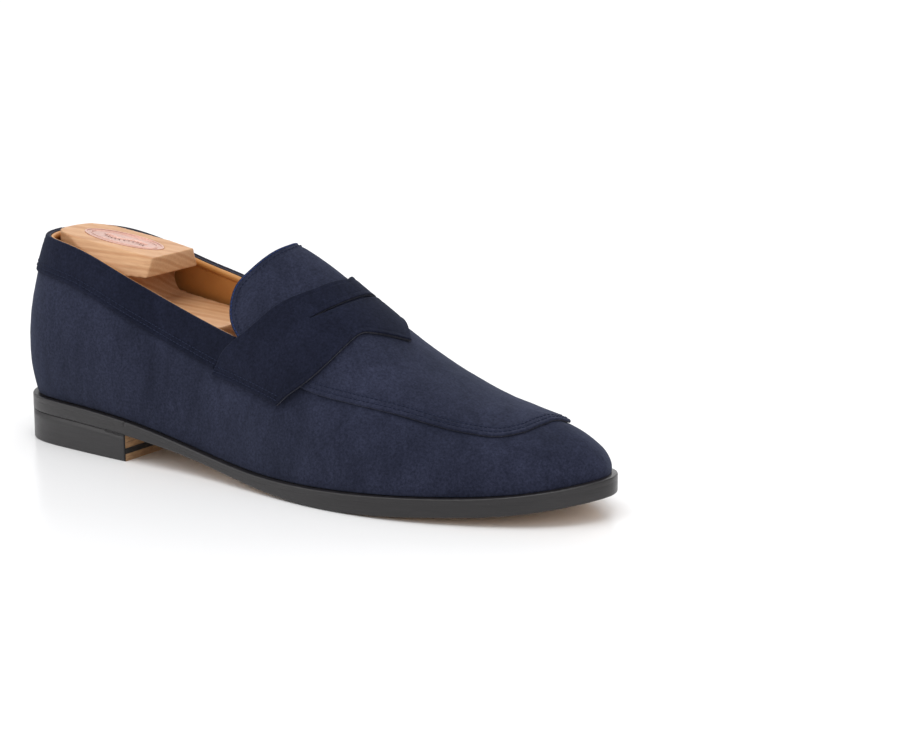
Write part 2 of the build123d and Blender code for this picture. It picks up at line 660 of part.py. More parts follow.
def handle_roof():
    """Bevelled top of the handle: a long bar that slopes down to the front."""
    slope = math.degrees(math.atan2(HANDLE_TOP_Z[0] - HANDLE_TOP_Z[1], HANDLE_FRONT_X - 11.5))
    points = [(-30, -40), (-30, -7.5), (-20.6, -7.5), (-15.6, 0), (15.6, 0), (20.6, -7.5), (30, -7.5), (30, -40)]
    face = Plane.YZ * make_face(Polyline(*points, close=True))
    bar = extrude(face, amount=90, both=True)
    return Pos(HANDLE_FRONT_X, 0, HANDLE_TOP_Z[1]) * Rot(0, slope, 0) * bar


def tree_heel_block():
    levels = (22.5, 34, 46, 58, 67)
    body = Solid.make_loft([heel_block_section(z) for z in levels])
    handle = Solid.make_loft([handle_outline(60), handle_outline(100)])
    handle = handle & Solid.make_loft([heel_block_section(z) for z in (60, 72, 84, 96)])
    body = body & block(-20, TREE_FRONT_X, -60, 60, 0, 66.9)
    whole = (body + (handle & block(-20, 90, -60, 60, 62, 100))) & tree_side_profile()
    whole = whole & (handle_roof() + block(-30, 130, -45, 45, 0, 78))
    for y in (-ROD_SPACING / 2, ROD_SPACING / 2):
        whole = whole - rod(76, TREE_FRONT_X + 1, y, TREE_AXIS_Z, ROD_RADIUS + RUNNING_FIT)
    seat = plate_frame() * extrude(Ellipse(22.1, 9.6), amount=-0.8)
    whole = whole - seat
    for pin in plate_pin_holes():
        whole = whole - pin
    return whole


def plate_frame():
    slope = math.degrees(math.atan2(HANDLE_TOP_Z[0] - HANDLE_TOP_Z[1], HANDLE_FRONT_X - 11.5))
    return Pos(46, 0, handle_top(46)) * Rot(0, slope, 0)


def tree_plate():
    """Oval metal plate let into the handle, with a raised rim."""
    plate = extrude(Ellipse(22.0, 9.5), amount=0.5)
    rim = extrude(Ellipse(22.0, 9.5) - Ellipse(21.2, 8.7), amount=0.75)
    body = plate_frame() * Pos(0, 0, -0.65) * (plate + rim)
    for pin in plate_pin_holes():
        body = body - pin
    return body


def plate_pin_holes():
    return [plate_frame() * Pos(x, 0, -2.0) * Cylinder(0.75, 6) for x in (-18.5, 18.5)]


def plate_pins():
    pins = [plate_frame() * Pos(x, 0, -2.4) * Cylinder(0.69, 5) for x in (-18.5, 18.5)]
    return Compound(children=[pin.solid() for pin in pins])


def tree_rods():
    rods = [rod(76.2, ROD_END_X, y, TREE_AXIS_Z, ROD_RADIUS) for y in (-ROD_SPACING / 2, ROD_SPACING / 2)]
    return Compound(children=[item.solid() for item in rods])


def tree_tubes():
    """Two closed-end steel tubes in the bridge; the rods slide in them."""
    tubes = []
    for y in (-ROD_SPACING / 2, ROD_SPACING / 2):
        tube = rod(BRIDGE_X[0], TUBE_END_X, y, TREE_AXIS_Z, TUBE_RADIUS)
        tubes.append(tube - rod(BRIDGE_X[0] - 1, TUBE_FLOOR_X, y, TREE_AXIS_Z, ROD_RADIUS + RUNNING_FIT))
    return Compound(children=[item.solid() for item in tubes])


def coil_spring(length, radius, wire, turns):
    """Helical spring that stands on the origin along Z."""
    path = Edge.make_helix((length - wire) / turns, length - wire, radius)
    profile = Plane(origin=path @ 0, z_dir=path % 0) * Circle(wire / 2)
    return Pos(0, 0, wire / 2) * sweep(profile, path=path, is_frenet=True)


def tree_springs():
    """Springs in the tubes, between the rods' ends and the tubes' closed ends."""
    springs = []
    for y in (-ROD_SPACING / 2, ROD_SPACING / 2):
        place = Pos(ROD_END_X + 0.3, y, TREE_AXIS_Z) * Rot(0, 90, 0)
        springs.append(place * coil_spring(TUBE_FLOOR_X - ROD_END_X - 0.6, 2.2, 0.7, 6))
    return Compound(children=[item.solid() for item in springs])


def forefoot_section(x, depth):
    """Upright outline across the tree at one station, at a depth below the last."""
    sides = []
    for us in (np.linspace(0.10, APRON_MIDDLE_U, 300), np.linspace(0.90, APRON_MIDDLE_U, 300)):
        side = []
        for rise in FOREFOOT_RISES:
            rib = layer_point(us, np.full(len(us), rise), np.full(len(us), -depth))
            order = np.argsort(rib[:, 0])
            y = float(np.interp(x, rib[order, 0], rib[order, 1]))
            z = float(np.interp(x, rib[order, 0], rib[order, 2]))
            side.append(Vector(x, y, z))
        sides.append(side)
    points = sides[0] + sides[1][-2::-1]
    top = Spline(points)
    return Wire([top.edge(), Line(points[-1], points[0]).edge()])


def forefoot_solid():
    """Whole forefoot shape of the tree, from the bridge to the toe."""
    sections = [forefoot_section(x, depth) for x, depth in FOREFOOT_STATIONS]
    room = side_slab(lambda x: sock_top(x) + 1.0, lambda x: 0 * x + FOREFOOT_CAP, 100, 290)
    return Solid.make_loft(sections) & room


def cross_pin_places():
    """Middle of each cross pin: x and z."""
    return [(x, float(sock_top(x)) + 12.0) for x in (182.0, 222.0)]


def cross_bar(x, y0, y1, z, radius):
    """Round bar along Y."""
    return Pos(x, (y0 + y1) / 2, z) * Rot(90, 0, 0) * Cylinder(radius, y1 - y0)


def forefoot_parts():
    whole = forefoot_solid()
    bridge = whole & block(BRIDGE_X[0], BRIDGE_X[1], -60, 60, 0, 80)
    for y in (-ROD_SPACING / 2, ROD_SPACING / 2):
        bridge = bridge - rod(BRIDGE_X[0] - 1, TUBE_END_X + 0.2, y, TREE_AXIS_Z, TUBE_RADIUS + RUNNING_FIT)
    lateral = whole & block(BRIDGE_X[1] + 2, 280, -60, SPLIT_Y - SPREAD_TRAVEL - 1.0, 0, 80)
    medial = whole & block(BRIDGE_X[1] + GAP, 280, SPLIT_Y, 60, 0, 80)
    pins = []
    springs = []
    for x, z in cross_pin_places():
        lateral_face = SPLIT_Y - SPREAD_TRAVEL - 1.0
        lateral = lateral - cross_bar(x, SPLIT_Y - 22, 0, z, PIN_RADIUS + RUNNING_FIT)
        lateral = lateral - cross_bar(x, lateral_face - SPRING_POCKET, 0, z, SPRING_POCKET_RADIUS)
        medial = medial - cross_bar(x, -5, SPLIT_Y + 12.2, z, PIN_RADIUS + RUNNING_FIT / 2)
        medial = medial - cross_bar(x, -5, SPLIT_Y + SPRING_POCKET, z, SPRING_POCKET_RADIUS)
        pins.append(cross_bar(x, SPLIT_Y - 16, SPLIT_Y + 12, z, PIN_RADIUS))
        length = SPLIT_Y - lateral_face + 2 * SPRING_POCKET - 0.6
        place = Pos(x, lateral_face - SPRING_POCKET + 0.3, z) * Rot(-90, 0, 0)
        springs.append(place * coil_spring(length, PIN_RADIUS + 0.9, 0.8, 6))
    return {
        "tree_bridge_block": bridge,
        "tree_forefoot_lateral": lateral,
        "tree_forefoot_medial": medial,
        "tree_cross_pins": Compound(children=[pin.solid() for pin in pins]),
        "tree_cross_springs": Compound(children=[item.solid() for item in springs]),
    }


# ---------------------------------------------------------------- writing the parts
def all_parts():
    parts = {}
    parts.update(sole_layers())
    parts.update(heel_stack())
    parts.update(insole_layers())
    parts["side_panel"] = side_panel()
    parts["apron"] = apron()
    parts["penny_strap"] = penny_strap()
    parts["collar_band"] = collar_band()
    parts["apron_lining"] = apron_lining()
    parts.update(linings())
    parts.update(stiffeners())
    parts["tree_heel_block"] = tree_heel_block()
    parts["tree_plate"] = tree_plate()
    parts["plate_pins"] = plate_pins()
    parts["tree_rods"] = tree_rods()
    parts["tree_tubes"] = tree_tubes()
    parts["tree_springs"] = tree_springs()
    parts.update(forefoot_parts())
    return parts


os.makedirs("parts", exist_ok=True)
for name, shape in all_parts().items():
    placed = Pos(-ORIGIN[0], -ORIGIN[1], -ORIGIN[2]) * shape
    export_step(placed, f"parts/{name}.step")
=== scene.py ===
import math

import bmesh
import bpy
import numpy as np
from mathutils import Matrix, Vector, bvhtree, kdtree


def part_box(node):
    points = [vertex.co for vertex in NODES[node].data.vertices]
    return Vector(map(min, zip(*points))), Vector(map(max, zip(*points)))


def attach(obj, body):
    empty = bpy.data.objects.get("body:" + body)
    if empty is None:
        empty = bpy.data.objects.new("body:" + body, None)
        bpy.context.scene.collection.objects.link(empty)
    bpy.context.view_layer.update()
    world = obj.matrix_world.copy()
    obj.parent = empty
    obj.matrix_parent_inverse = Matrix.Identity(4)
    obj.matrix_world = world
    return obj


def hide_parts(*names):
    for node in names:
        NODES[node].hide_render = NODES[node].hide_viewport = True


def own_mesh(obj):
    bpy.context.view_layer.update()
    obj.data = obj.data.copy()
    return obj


# Penny loafer with its shoe tree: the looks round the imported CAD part.
# Shapes are worked out in the CAD's working millimetres (heel back x = 0, ground z = 0).

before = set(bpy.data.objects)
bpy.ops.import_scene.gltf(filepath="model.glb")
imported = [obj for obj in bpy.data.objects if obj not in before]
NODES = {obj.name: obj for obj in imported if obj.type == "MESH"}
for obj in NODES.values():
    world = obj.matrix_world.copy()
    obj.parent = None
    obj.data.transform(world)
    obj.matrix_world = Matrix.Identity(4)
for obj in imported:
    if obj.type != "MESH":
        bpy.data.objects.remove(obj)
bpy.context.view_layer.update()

# ---------------------------------------------------------------- driving dimensions, as in the part
SOLE_LENGTH = 300.0
FEATHER_INSET = 2.8
GAP = 0.12
APRON_GAP = 0.25
STRAP_GAP = 0.45
SUEDE = 1.3
STIFFENER = 0.75
LINING = 0.9
COLLAR = 0.9
STRAP = 1.6
HEEL_BREAST_X = 73.0
RAND_WIDTH = 12.0
WELT_THICKNESS = 2.3
COLLAR_WIDTH = 16.5
COLLAR_END_GAP = 0.8
SEAM_U = 0.815
OUTSOLE_INSET = 0.25

OUTER_SIDE = [(9.5, -24), (34, -31.5), (75, -35.5), (110, -37.5), (150, -44.5), (190, -50),
              (225, -47.5), (258, -37), (284, -22)]
INNER_SIDE = [(290, 23), (268, 36), (238, 45.5), (205, 48.5), (165, 38.5), (120, 29),
              (75, 32), (35, 31.5), (10, 23.5)]
TOE_TIP = [(SOLE_LENGTH - 3, -6), (SOLE_LENGTH, 4), (SOLE_LENGTH - 3, 14)]
SOLE_X = [0, 40, 75, 110, 150, 190, 240, 275, 300]
WELT_TOP = [21.0, 20.4, 18.1, 12.4, 8.0, 8.2, 10.6, 13.6, 18.0]
SOLE_BOTTOM = [13.8, 13.4, 11.8, 7.8, 2.5, 0.15, 2.6, 5.6, 10.0]

SPINE_X = [0, 40, 80, 120, 150, 180, 210, 240, 262]
SPINE_HEIGHT = [135.7, 131.5, 112.5, 103.4, 93.0, 74.5, 56.1, 44.1, 39.7]
SPINE_SIDE = [0, 0, 0, 2, 4, 3, 2, 3, 4]
RIB_BULGE = [14.5, 13.3, 7.5, 3.5, 1.4, 1.0, 1.3, 1.7, 2.5]
RIB_RISE = [0.39, 0.37, 0.37, 0.37, 0.39, 0.40, 0.41, 0.40, 0.40]
RIB_REACH = [0.42, 0.41, 0.44, 0.48, 0.53, 0.58, 0.61, 0.61, 0.60]
SPINE_START = 36.0
SPINE_END = 262.0
HEEL_FAN = 60.0
TOE_FAN = 215.0
TOPLINE_X = [0, 30, 50, 65, 80, 100, 115, 133]
TOPLINE_OUTER = [94.5, 93.0, 88.2, 82.8, 77.5, 70.8, 66.4, 62.0]
TOPLINE_INNER = [94.5, 92.7, 89.0, 85.6, 82.5, 78.6, 74.0, 67.0]
APRON_FROM_TOE = [0.0, 0.03, 0.05, 0.065, 0.08, 0.105, 0.14, 0.16, 0.18, 0.20, 0.22, 0.28]
APRON_RISE = [0.825, 0.77, 0.668, 0.61, 0.588, 0.578, 0.553, 0.51, 0.463, 0.425, 0.41, 0.44]
APRON_LAP = 0.07
APRON_MIDDLE_U = 0.492
APRON_REAR_U = 0.235
APRON_CORNER_U = 0.445
TONGUE_EDGE = [(0.47, 130.5), (0.53, 125.6), (0.60, 124.6), (0.70, 128.4), (0.80, 133.0), (0.90, 136.5)]
TONGUE_MIDDLE_X = 138.0
STRAP_RISE = [0.30, 0.42, 0.50, 0.56, 0.68, 0.78, 0.88, 1.0]
STRAP_REAR = [122.5, 130.8, 139.2, 144.0, 152.6, 159.4, 163.2, 166.0]
STRAP_FRONT_RISE = [0.30, 0.42, 0.54, 0.69, 0.78, 0.82, 0.86, 1.0]
STRAP_FRONT = [162.0, 173.0, 180.0, 184.5, 186.0, 187.2, 190.0, 200.5]
SLIT_HALF = 24.0
SLIT_ENDS_X = 165.5
SLIT_MIDDLE_X = 175.5
SLIT_WIDTH = 1.6


# ---------------------------------------------------------------- curves and the last
def spline_through(xs, ys):
    """Natural cubic spline y(x) as a function that takes arrays."""
    xs = np.asarray(xs, float)
    ys = np.asarray(ys, float)
    count = len(xs)
    step = np.diff(xs)
    matrix = np.eye(count)
    right = np.zeros(count)
    for i in range(1, count - 1):
        matrix[i, i - 1] = step[i - 1]
        matrix[i, i] = 2 * (step[i - 1] + step[i])
        matrix[i, i + 1] = step[i]
        right[i] = 6 * ((ys[i + 1] - ys[i]) / step[i] - (ys[i] - ys[i - 1]) / step[i - 1])
    bend = np.linalg.solve(matrix, right)

    def value(x):
        x = np.clip(np.asarray(x, float), xs[0], xs[-1])
        i = np.clip(np.searchsorted(xs, x, side="right") - 1, 0, count - 2)
        a = (xs[i + 1] - x) / step[i]
        b = (x - xs[i]) / step[i]
        curve = (a ** 3 - a) * bend[i] + (b ** 3 - b) * bend[i + 1]
        return a * ys[i] + b * ys[i + 1] + curve * step[i] ** 2 / 6

    return value


def closed_spline(points):
    """Closed cubic spline through plan points; the parameter runs from 0 to 1."""
    points = np.asarray(points, float)
    count = len(points)
    step = np.linalg.norm(np.roll(points, -1, 0) - points, axis=1)
    knots = np.concatenate([[0], np.cumsum(step)])
    matrix = np.zeros((count, count))
    right = np.zeros((count, 2))
    for i in range(count):
        before, after = step[i - 1], step[i]
        following = (i + 1) % count
        matrix[i, i - 1] += before
        matrix[i, i] += 2 * (before + after)
        matrix[i, following] += after
        right[i] = 6 * ((points[following] - points[i]) / after - (points[i] - points[i - 1]) / before)
    bend = np.linalg.solve(matrix, right)

    def value(u):
        s = (np.asarray(u, float) % 1.0) * knots[-1]
        i = np.clip(np.searchsorted(knots, s, side="right") - 1, 0, count - 1)
        j = (i + 1) % count
        a = ((knots[i + 1] - s) / step[i])[..., None]
        b = ((s - knots[i]) / step[i])[..., None]
        curve = (a ** 3 - a) * bend[i] + (b ** 3 - b) * bend[j]
        return a * points[i] + b * points[j] + curve * step[i][..., None] ** 2 / 6

    return value


sole_edge = closed_spline([(0, 0)] + OUTER_SIDE + TOE_TIP + INNER_SIDE)
welt_top = spline_through(SOLE_X, WELT_TOP)
sole_bottom = spline_through(SOLE_X, SOLE_BOTTOM)
spine_height = spline_through(SPINE_X, SPINE_HEIGHT)
spine_side = spline_through(SPINE_X, SPINE_SIDE)
rib_bulge = spline_through(SPINE_X, RIB_BULGE)
rib_rise = spline_through(SPINE_X, RIB_RISE)
rib_reach = spline_through(SPINE_X, RIB_REACH)
topline_outer = spline_through(TOPLINE_X, TOPLINE_OUTER)
topline_inner = spline_through(TOPLINE_X, TOPLINE_INNER)
apron_rise = spline_through(APRON_FROM_TOE, APRON_RISE)
strap_rear = spline_through(STRAP_RISE, STRAP_REAR)
strap_front = spline_through(STRAP_FRONT_RISE, STRAP_FRONT)
tongue_edge = spline_through([0.40] + [rise for rise, x in TONGUE_EDGE],
                             [137.0] + [x for rise, x in TONGUE_EDGE])


def smooth_step(x, start, end):
    part = np.clip((np.asarray(x, float) - start) / (end - start), 0, 1)
    return part * part * (3 - 2 * part)


def edge_point(u, inset):
    """Plan point of the sole edge moved inwards, and its outward direction."""
    u = np.asarray(u, float)
    tangent = sole_edge(u + 1e-4) - sole_edge(u - 1e-4)
    tangent = tangent / np.linalg.norm(tangent, axis=-1, keepdims=True)
    outward = np.stack([tangent[..., 1], -tangent[..., 0]], -1)
    inset = np.asarray(inset, float)
    return sole_edge(u) - outward * inset[..., None], outward


def spine_x(x):
    """Where the rib that starts at x meets the spine: ribs fan out at heel and toe."""
    reach = SPINE_END - TOE_FAN
    span = SOLE_LENGTH - FEATHER_INSET - TOE_FAN
    part = np.clip((x - TOE_FAN) / span, 0, 1)
    toe = TOE_FAN + reach * (1 - (1 - part) ** (span / reach))
    reach = HEEL_FAN - SPINE_START
    span = HEEL_FAN - FEATHER_INSET
    part = np.clip((HEEL_FAN - x) / span, 0, 1)
    heel = HEEL_FAN - reach * (1 - (1 - part) ** (span / reach))
    return np.where(x > TOE_FAN, toe, np.where(x < HEEL_FAN, heel, x))


def last_point(u, v):
    """Point of the last: u runs round the sole edge, v climbs the rib from 0 to 1."""
    u, v = np.broadcast_arrays(np.asarray(u, float), np.asarray(v, float))
    foot, outward = edge_point(u, FEATHER_INSET)
    top_x = spine_x(foot[..., 0])
    base = welt_top(foot[..., 0]) + GAP
    height = spine_height(top_x)
    slope = spine_height(top_x + 0.5) - spine_height(top_x - 0.5)
    top = np.stack([top_x, spine_side(top_x)], -1)
    back = (foot - top) * rib_reach(top_x)[..., None]
    p0 = np.concatenate([foot, base[..., None]], -1)
    rise = base + rib_rise(top_x) * (height - base)
    p1 = np.concatenate([foot + outward * rib_bulge(top_x)[..., None], rise[..., None]], -1)
    p2 = np.concatenate([top + back, (height + slope * back[..., 0])[..., None]], -1)
    p3 = np.concatenate([top, height[..., None]], -1)
    v = v[..., None]
    return (1 - v) ** 3 * p0 + 3 * v * (1 - v) ** 2 * p1 + 3 * v * v * (1 - v) * p2 + v ** 3 * p3


def last_normal(u, v):
    """Outward unit normal of the last."""
    u, v = np.broadcast_arrays(np.asarray(u, float), np.asarray(v, float))
    e = 1e-3
    along = last_point(u + e, v) - last_point(u - e, v)
    up = last_point(u, np.minimum(v + e, 1)) - last_point(u, np.maximum(v - e, 0))
    normal = np.cross(along, up)
    return normal / np.linalg.norm(normal, axis=-1, keepdims=True)


RISES = np.linspace(0, 1, 401)


def rise_at_height(u, z_of_x):
    """How far up the ribs at the values u the height z_of_x(x) lies."""
    u = np.atleast_1d(np.asarray(u, float))
    ribs = last_point(u[:, None], RISES[None, :])
    above = ribs[..., 2] - z_of_x(ribs[..., 0])
    first = np.argmax(above > 0, axis=1)
    rows = np.arange(len(u))
    share = above[rows, first - 1] / (above[rows, first - 1] - above[rows, first])
    return RISES[first - 1] + share * (RISES[first] - RISES[first - 1])


def apron_edge(u):
    return apron_rise(np.abs(np.asarray(u, float) % 1.0 - APRON_MIDDLE_U))


def topline_rise(u, drop=0.0):
    u = np.atleast_1d(np.asarray(u, float))
    outer = rise_at_height(u, lambda x: topline_outer(x) - drop)
    inner = rise_at_height(u, lambda x: topline_inner(x) - drop)
    return np.where((u % 1.0) < 0.5, outer, inner)


def panel_edge(u):
    """Upper edge of the side panel: the topline behind, under the apron in front."""
    x = sole_edge(u)[:, 0]
    front = np.where(x > 120, np.minimum(apron_edge(u) + APRON_LAP, 0.93), 0.0)
    share = smooth_step(x, 128, 150)
    rear = topline_rise(u)
    return np.where(x > 150, front, rear * (1 - share) + front * share)


# The shift from the working millimetres to the row frame follows from the outsole's box.
SOLE_RING = sole_edge(np.linspace(0, 1, 4001))
SOLE_LOW = np.array(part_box("outsole")[0]) * 1000
SHIFT = np.array([OUTSOLE_INSET - SOLE_LOW[0], SOLE_RING[:, 1].min() + OUTSOLE_INSET - SOLE_LOW[1], 0.0])


def metres(points):
    """Row-frame metres of points in working millimetres."""
    return (np.asarray(points, float) - SHIFT) / 1000


# ---------------------------------------------------------------- small random ripples
RANDOM = np.random.default_rng(7)
WAVE_COUNT = 24
WAVES = RANDOM.normal(size=(2 * WAVE_COUNT, 3))
WAVES /= np.linalg.norm(WAVES, axis=1, keepdims=True)
PHASES = RANDOM.uniform(0, 2 * math.pi, 2 * WAVE_COUNT)


def ripple(points, length):
    """Smooth irregular height from about -1 to 1 with features of the given length."""
    points = np.asarray(points, float)
    total = np.zeros(points.shape[:-1])
    for wave, phase in zip(WAVES[:WAVE_COUNT], PHASES[:WAVE_COUNT]):
        stretch = 1.0 + 0.6 * math.sin(phase * 3)
        total += np.sin(points @ wave * (2 * math.pi / length * stretch) + phase)
    return total / math.sqrt(WAVE_COUNT)


# ---------------------------------------------------------------- meshes from grids
def mesh_object(name, points, faces, body="shoe", materials=(), material_index=None, smooth=True):
    """Piece from points in working millimetres that rides on a body."""
    mesh = bpy.data.meshes.new(name)
    mesh.from_pydata([tuple(p) for p in metres(points)], [], [tuple(int(i) for i in f) for f in faces])
    for material in materials:
        mesh.materials.append(material)
    if material_index is not None:
        mesh.polygons.foreach_set("material_index", np.asarray(material_index, np.int32))
    mesh.polygons.foreach_set("use_smooth", np.full(len(mesh.polygons), smooth))
    mesh.update()
    piece = bpy.data.objects.new(name, mesh)
    bpy.context.scene.collection.objects.link(piece)
    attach(piece, body)
    return piece


def cell_faces(cells, columns):
    """Corner indices of the kept cells of a grid, row by row."""
    i, j = np.nonzero(cells)
    a = i * columns + j
    return np.stack([a, a + 1, a + columns + 1, a + columns], 1)


def rim_edges(faces):
    """Directed edges that belong to only one face."""
    edges = np.concatenate([faces[:, [0, 1]], faces[:, [1, 2]], faces[:, [2, 3]], faces[:, [3, 0]]])
    key = np.sort(edges, axis=1)
    key = key[:, 0].astype(np.int64) * (key.max() + 1) + key[:, 1]
    order = np.argsort(key, kind="stable")
    lone = np.ones(len(key), bool)
    same = key[order][1:] == key[order][:-1]
    lone[order[1:][same]] = False
    lone[order[:-1][same]] = False
    return edges[lone]


def rim_distance(points, edges):
    """Distance of every point to the rim."""
    flat = points.reshape(-1, 3)
    a, b = flat[edges[:, 0]], flat[edges[:, 1]]
    shares = np.linspace(0, 1, 5)[:-1]
    samples = np.concatenate([a + (b - a) * s for s in shares])
    tree = kdtree.KDTree(len(samples))
    for i, p in enumerate(samples):
        tree.insert(p, i)
    tree.balance()
    return np.array([tree.find(p)[2] for p in flat]).reshape(points.shape[:-1])


def round_drop(distance, radius):
    """How far a rounded edge lies below the full height."""
    inside = np.clip(distance / radius, 0, 1)
    return radius * (1 - np.sqrt(1 - (1 - inside) ** 2))


def shell(name, base, normal, outside, inside, skin, wall, cells=None, radius=0.55, grooves=(),
          body="shoe", relief=None, inner_radius=0.25):
    """Thick sheet over a grid, with rounded rims and grooves at given distances from the rim."""
    rows, columns = base.shape[:2]
    if cells is None:
        cells = np.ones((rows - 1, columns - 1), bool)
    faces = cell_faces(cells, columns)
    edges = rim_edges(faces)
    raised = base + normal * np.broadcast_to(outside, base.shape[:2])[..., None]
    away = rim_distance(raised, edges)
    high = outside - round_drop(away, radius)
    low = inside + round_drop(away, inner_radius)
    for depth, place, width in grooves:
        high = high - depth * np.exp(-((away - place) / width) ** 2)
    if relief is not None:
        high = high + relief * smooth_step(away, 0.0, 2.5)
    top = (base + normal * high[..., None]).reshape(-1, 3)
    under = (base + normal * low[..., None]).reshape(-1, 3)
    count = len(top)
    side = np.stack([edges[:, 1], edges[:, 0], edges[:, 0] + count, edges[:, 1] + count], 1)
    all_faces = np.concatenate([faces, faces[:, ::-1] + count, side])
    points = np.concatenate([top, under])
    a, b, c = points[faces[:, 0]], points[faces[:, 1]], points[faces[:, 2]]
    facing = np.einsum("ij,ij->i", np.cross(b - a, c - a), normal.reshape(-1, 3)[faces[:, 0]])
    if facing.sum() < 0:
        all_faces = all_faces[:, ::-1]
    used = np.unique(all_faces)
    place = np.zeros(len(points), np.int64)
    place[used] = np.arange(len(used))
    index = np.concatenate([np.zeros(len(faces), int), np.full(len(faces) + len(side), 1)])
    return mesh_object(name, points[used], place[all_faces], body, (skin, wall), index)


def clustered(length, near, step):
    """Shares from 0 to 1 along a length, with the given near distances repeated from both ends."""
    near = np.asarray(near, float)
    middle_count = max(int((length - 2 * near[-1]) / step), 2)
    middle = np.linspace(near[-1], length - near[-1], middle_count + 1)[1:-1]
    return np.concatenate([near, middle, length - near[::-1]]) / length


# distances from a rounded edge at which the grids get a row of points
NEAR = [0.0, 0.08, 0.2, 0.38, 0.6, 0.9, 1.3]


# ---------------------------------------------------------------- materials
def new_material(name):
    """Empty material with a shader joined to its output."""
    material = bpy.data.materials.new(name)
    material.use_nodes = True
    nodes = material.node_tree.nodes
    nodes.clear()
    output = nodes.new("ShaderNodeOutputMaterial")
    shader = nodes.new("ShaderNodeBsdfPrincipled")
    material.node_tree.links.new(shader.outputs[0], output.inputs[0])
    return material, nodes, material.node_tree.links, shader


def object_place(nodes, links, scale=(1, 1, 1), turn=(0, 0, 0)):
    """Object coordinates in metres, stretched by scale."""
    coordinates = nodes.new("ShaderNodeTexCoord")
    mapping = nodes.new("ShaderNodeMapping")
    mapping.inputs["Scale"].default_value = scale
    mapping.inputs["Rotation"].default_value = turn
    links.new(coordinates.outputs["Object"], mapping.inputs["Vector"])
    return mapping.outputs["Vector"]


def noise_at(nodes, links, place, scale, detail=4.0, rough=0.55, distortion=0.0):
    node = nodes.new("ShaderNodeTexNoise")
    node.inputs["Scale"].default_value = scale
    node.inputs["Detail"].default_value = detail
    node.inputs["Roughness"].default_value = rough
    node.inputs["Distortion"].default_value = distortion
    links.new(place, node.inputs["Vector"])
    return node.outputs["Fac"]


def ramp(nodes, links, factor, stops):
    node = nodes.new("ShaderNodeValToRGB")
    elements = node.color_ramp.elements
    while len(elements) < len(stops):
        elements.new(0.5)
    for element, (at, color) in zip(elements, stops):
        element.position = at
        element.color = (*color, 1) if len(color) == 3 else color
    links.new(factor, node.inputs["Fac"])
    return node.outputs["Color"]


def mix_colors(nodes, links, factor, a, b, mode="MIX"):
    node = nodes.new("ShaderNodeMix")
    node.data_type = "RGBA"
    node.blend_type = mode
    node.inputs["Factor"].default_value = factor
    # the colour sockets of a Mix node share names with the others, so they are found by type
    first, second = [socket for socket in node.inputs if socket.type == "RGBA"]
    links.new(a, first)
    links.new(b, second)
    return next(socket for socket in node.outputs if socket.type == "RGBA")


def bump(nodes, links, shader, layers):
    """Stack of bumps: each layer is (height, strength, distance in metres)."""
    previous = None
    for height, strength, distance in layers:
        node = nodes.new("ShaderNodeBump")
        node.inputs["Strength"].default_value = strength
        node.inputs["Distance"].default_value = distance
        links.new(height, node.inputs["Height"])
        if previous is not None:
            links.new(previous, node.inputs["Normal"])
        previous = node.outputs["Normal"]
    links.new(previous, shader.inputs["Normal"])


def suede(name, dark, light, sheen=0.35):
    """Brushed nap: cloudy colour, streaks where the nap lies over, fine fibre bump."""
    material, nodes, links, shader = new_material(name)
    place = object_place(nodes, links)
    brushed = object_place(nodes, links, (1.0, 1.0, 0.35), (0.3, 0.2, 0.5))
    cloud = noise_at(nodes, links, brushed, 26, 5, 0.62, 0.6)
    streak = noise_at(nodes, links, brushed, 95, 4, 0.6, 1.2)
    fibre = noise_at(nodes, links, place, 900, 4, 0.75)
    wide = ramp(nodes, links, cloud, [(0.36, dark), (0.66, light)])
    deep, pale = tuple(c * 0.8 for c in dark), tuple(c * 1.12 for c in light)
    narrow = ramp(nodes, links, streak, [(0.3, deep), (0.7, pale)])
    soft = mix_colors(nodes, links, 0.38, wide, narrow)
    speckle = ramp(nodes, links, fibre, [(0.34, (0.55, 0.57, 0.62)), (0.66, (1.42, 1.42, 1.42))])
    color = mix_colors(nodes, links, 0.85, soft, speckle, "MULTIPLY")
    links.new(color, shader.inputs["Base Color"])
    shader.inputs["Roughness"].default_value = 1.0
    shader.inputs["Specular IOR Level"].default_value = 0.08
    shader.inputs["Sheen Weight"].default_value = sheen
    shader.inputs["Sheen Roughness"].default_value = 0.55
    shader.inputs["Sheen Tint"].default_value = (0.62, 0.70, 0.95, 1)
    nap = noise_at(nodes, links, place, 420, 4, 0.65)
    bump(nodes, links, shader, [(cloud, 0.25, 0.0006), (nap, 0.5, 0.00025), (fibre, 0.6, 0.00012)])
    return material


def leather(name, color, darker, rough=0.5):
    """Smooth leather with cloudy tone and fine pores."""
    material, nodes, links, shader = new_material(name)
    place = object_place(nodes, links)
    tone = noise_at(nodes, links, place, 35, 4, 0.6)
    pore = noise_at(nodes, links, place, 900, 3, 0.6)
    links.new(ramp(nodes, links, tone, [(0.3, darker), (0.7, color)]), shader.inputs["Base Color"])
    shader.inputs["Roughness"].default_value = rough
    shader.inputs["Specular IOR Level"].default_value = 0.4
    bump(nodes, links, shader, [(tone, 0.2, 0.0003), (pore, 0.5, 0.00006)])
    return material


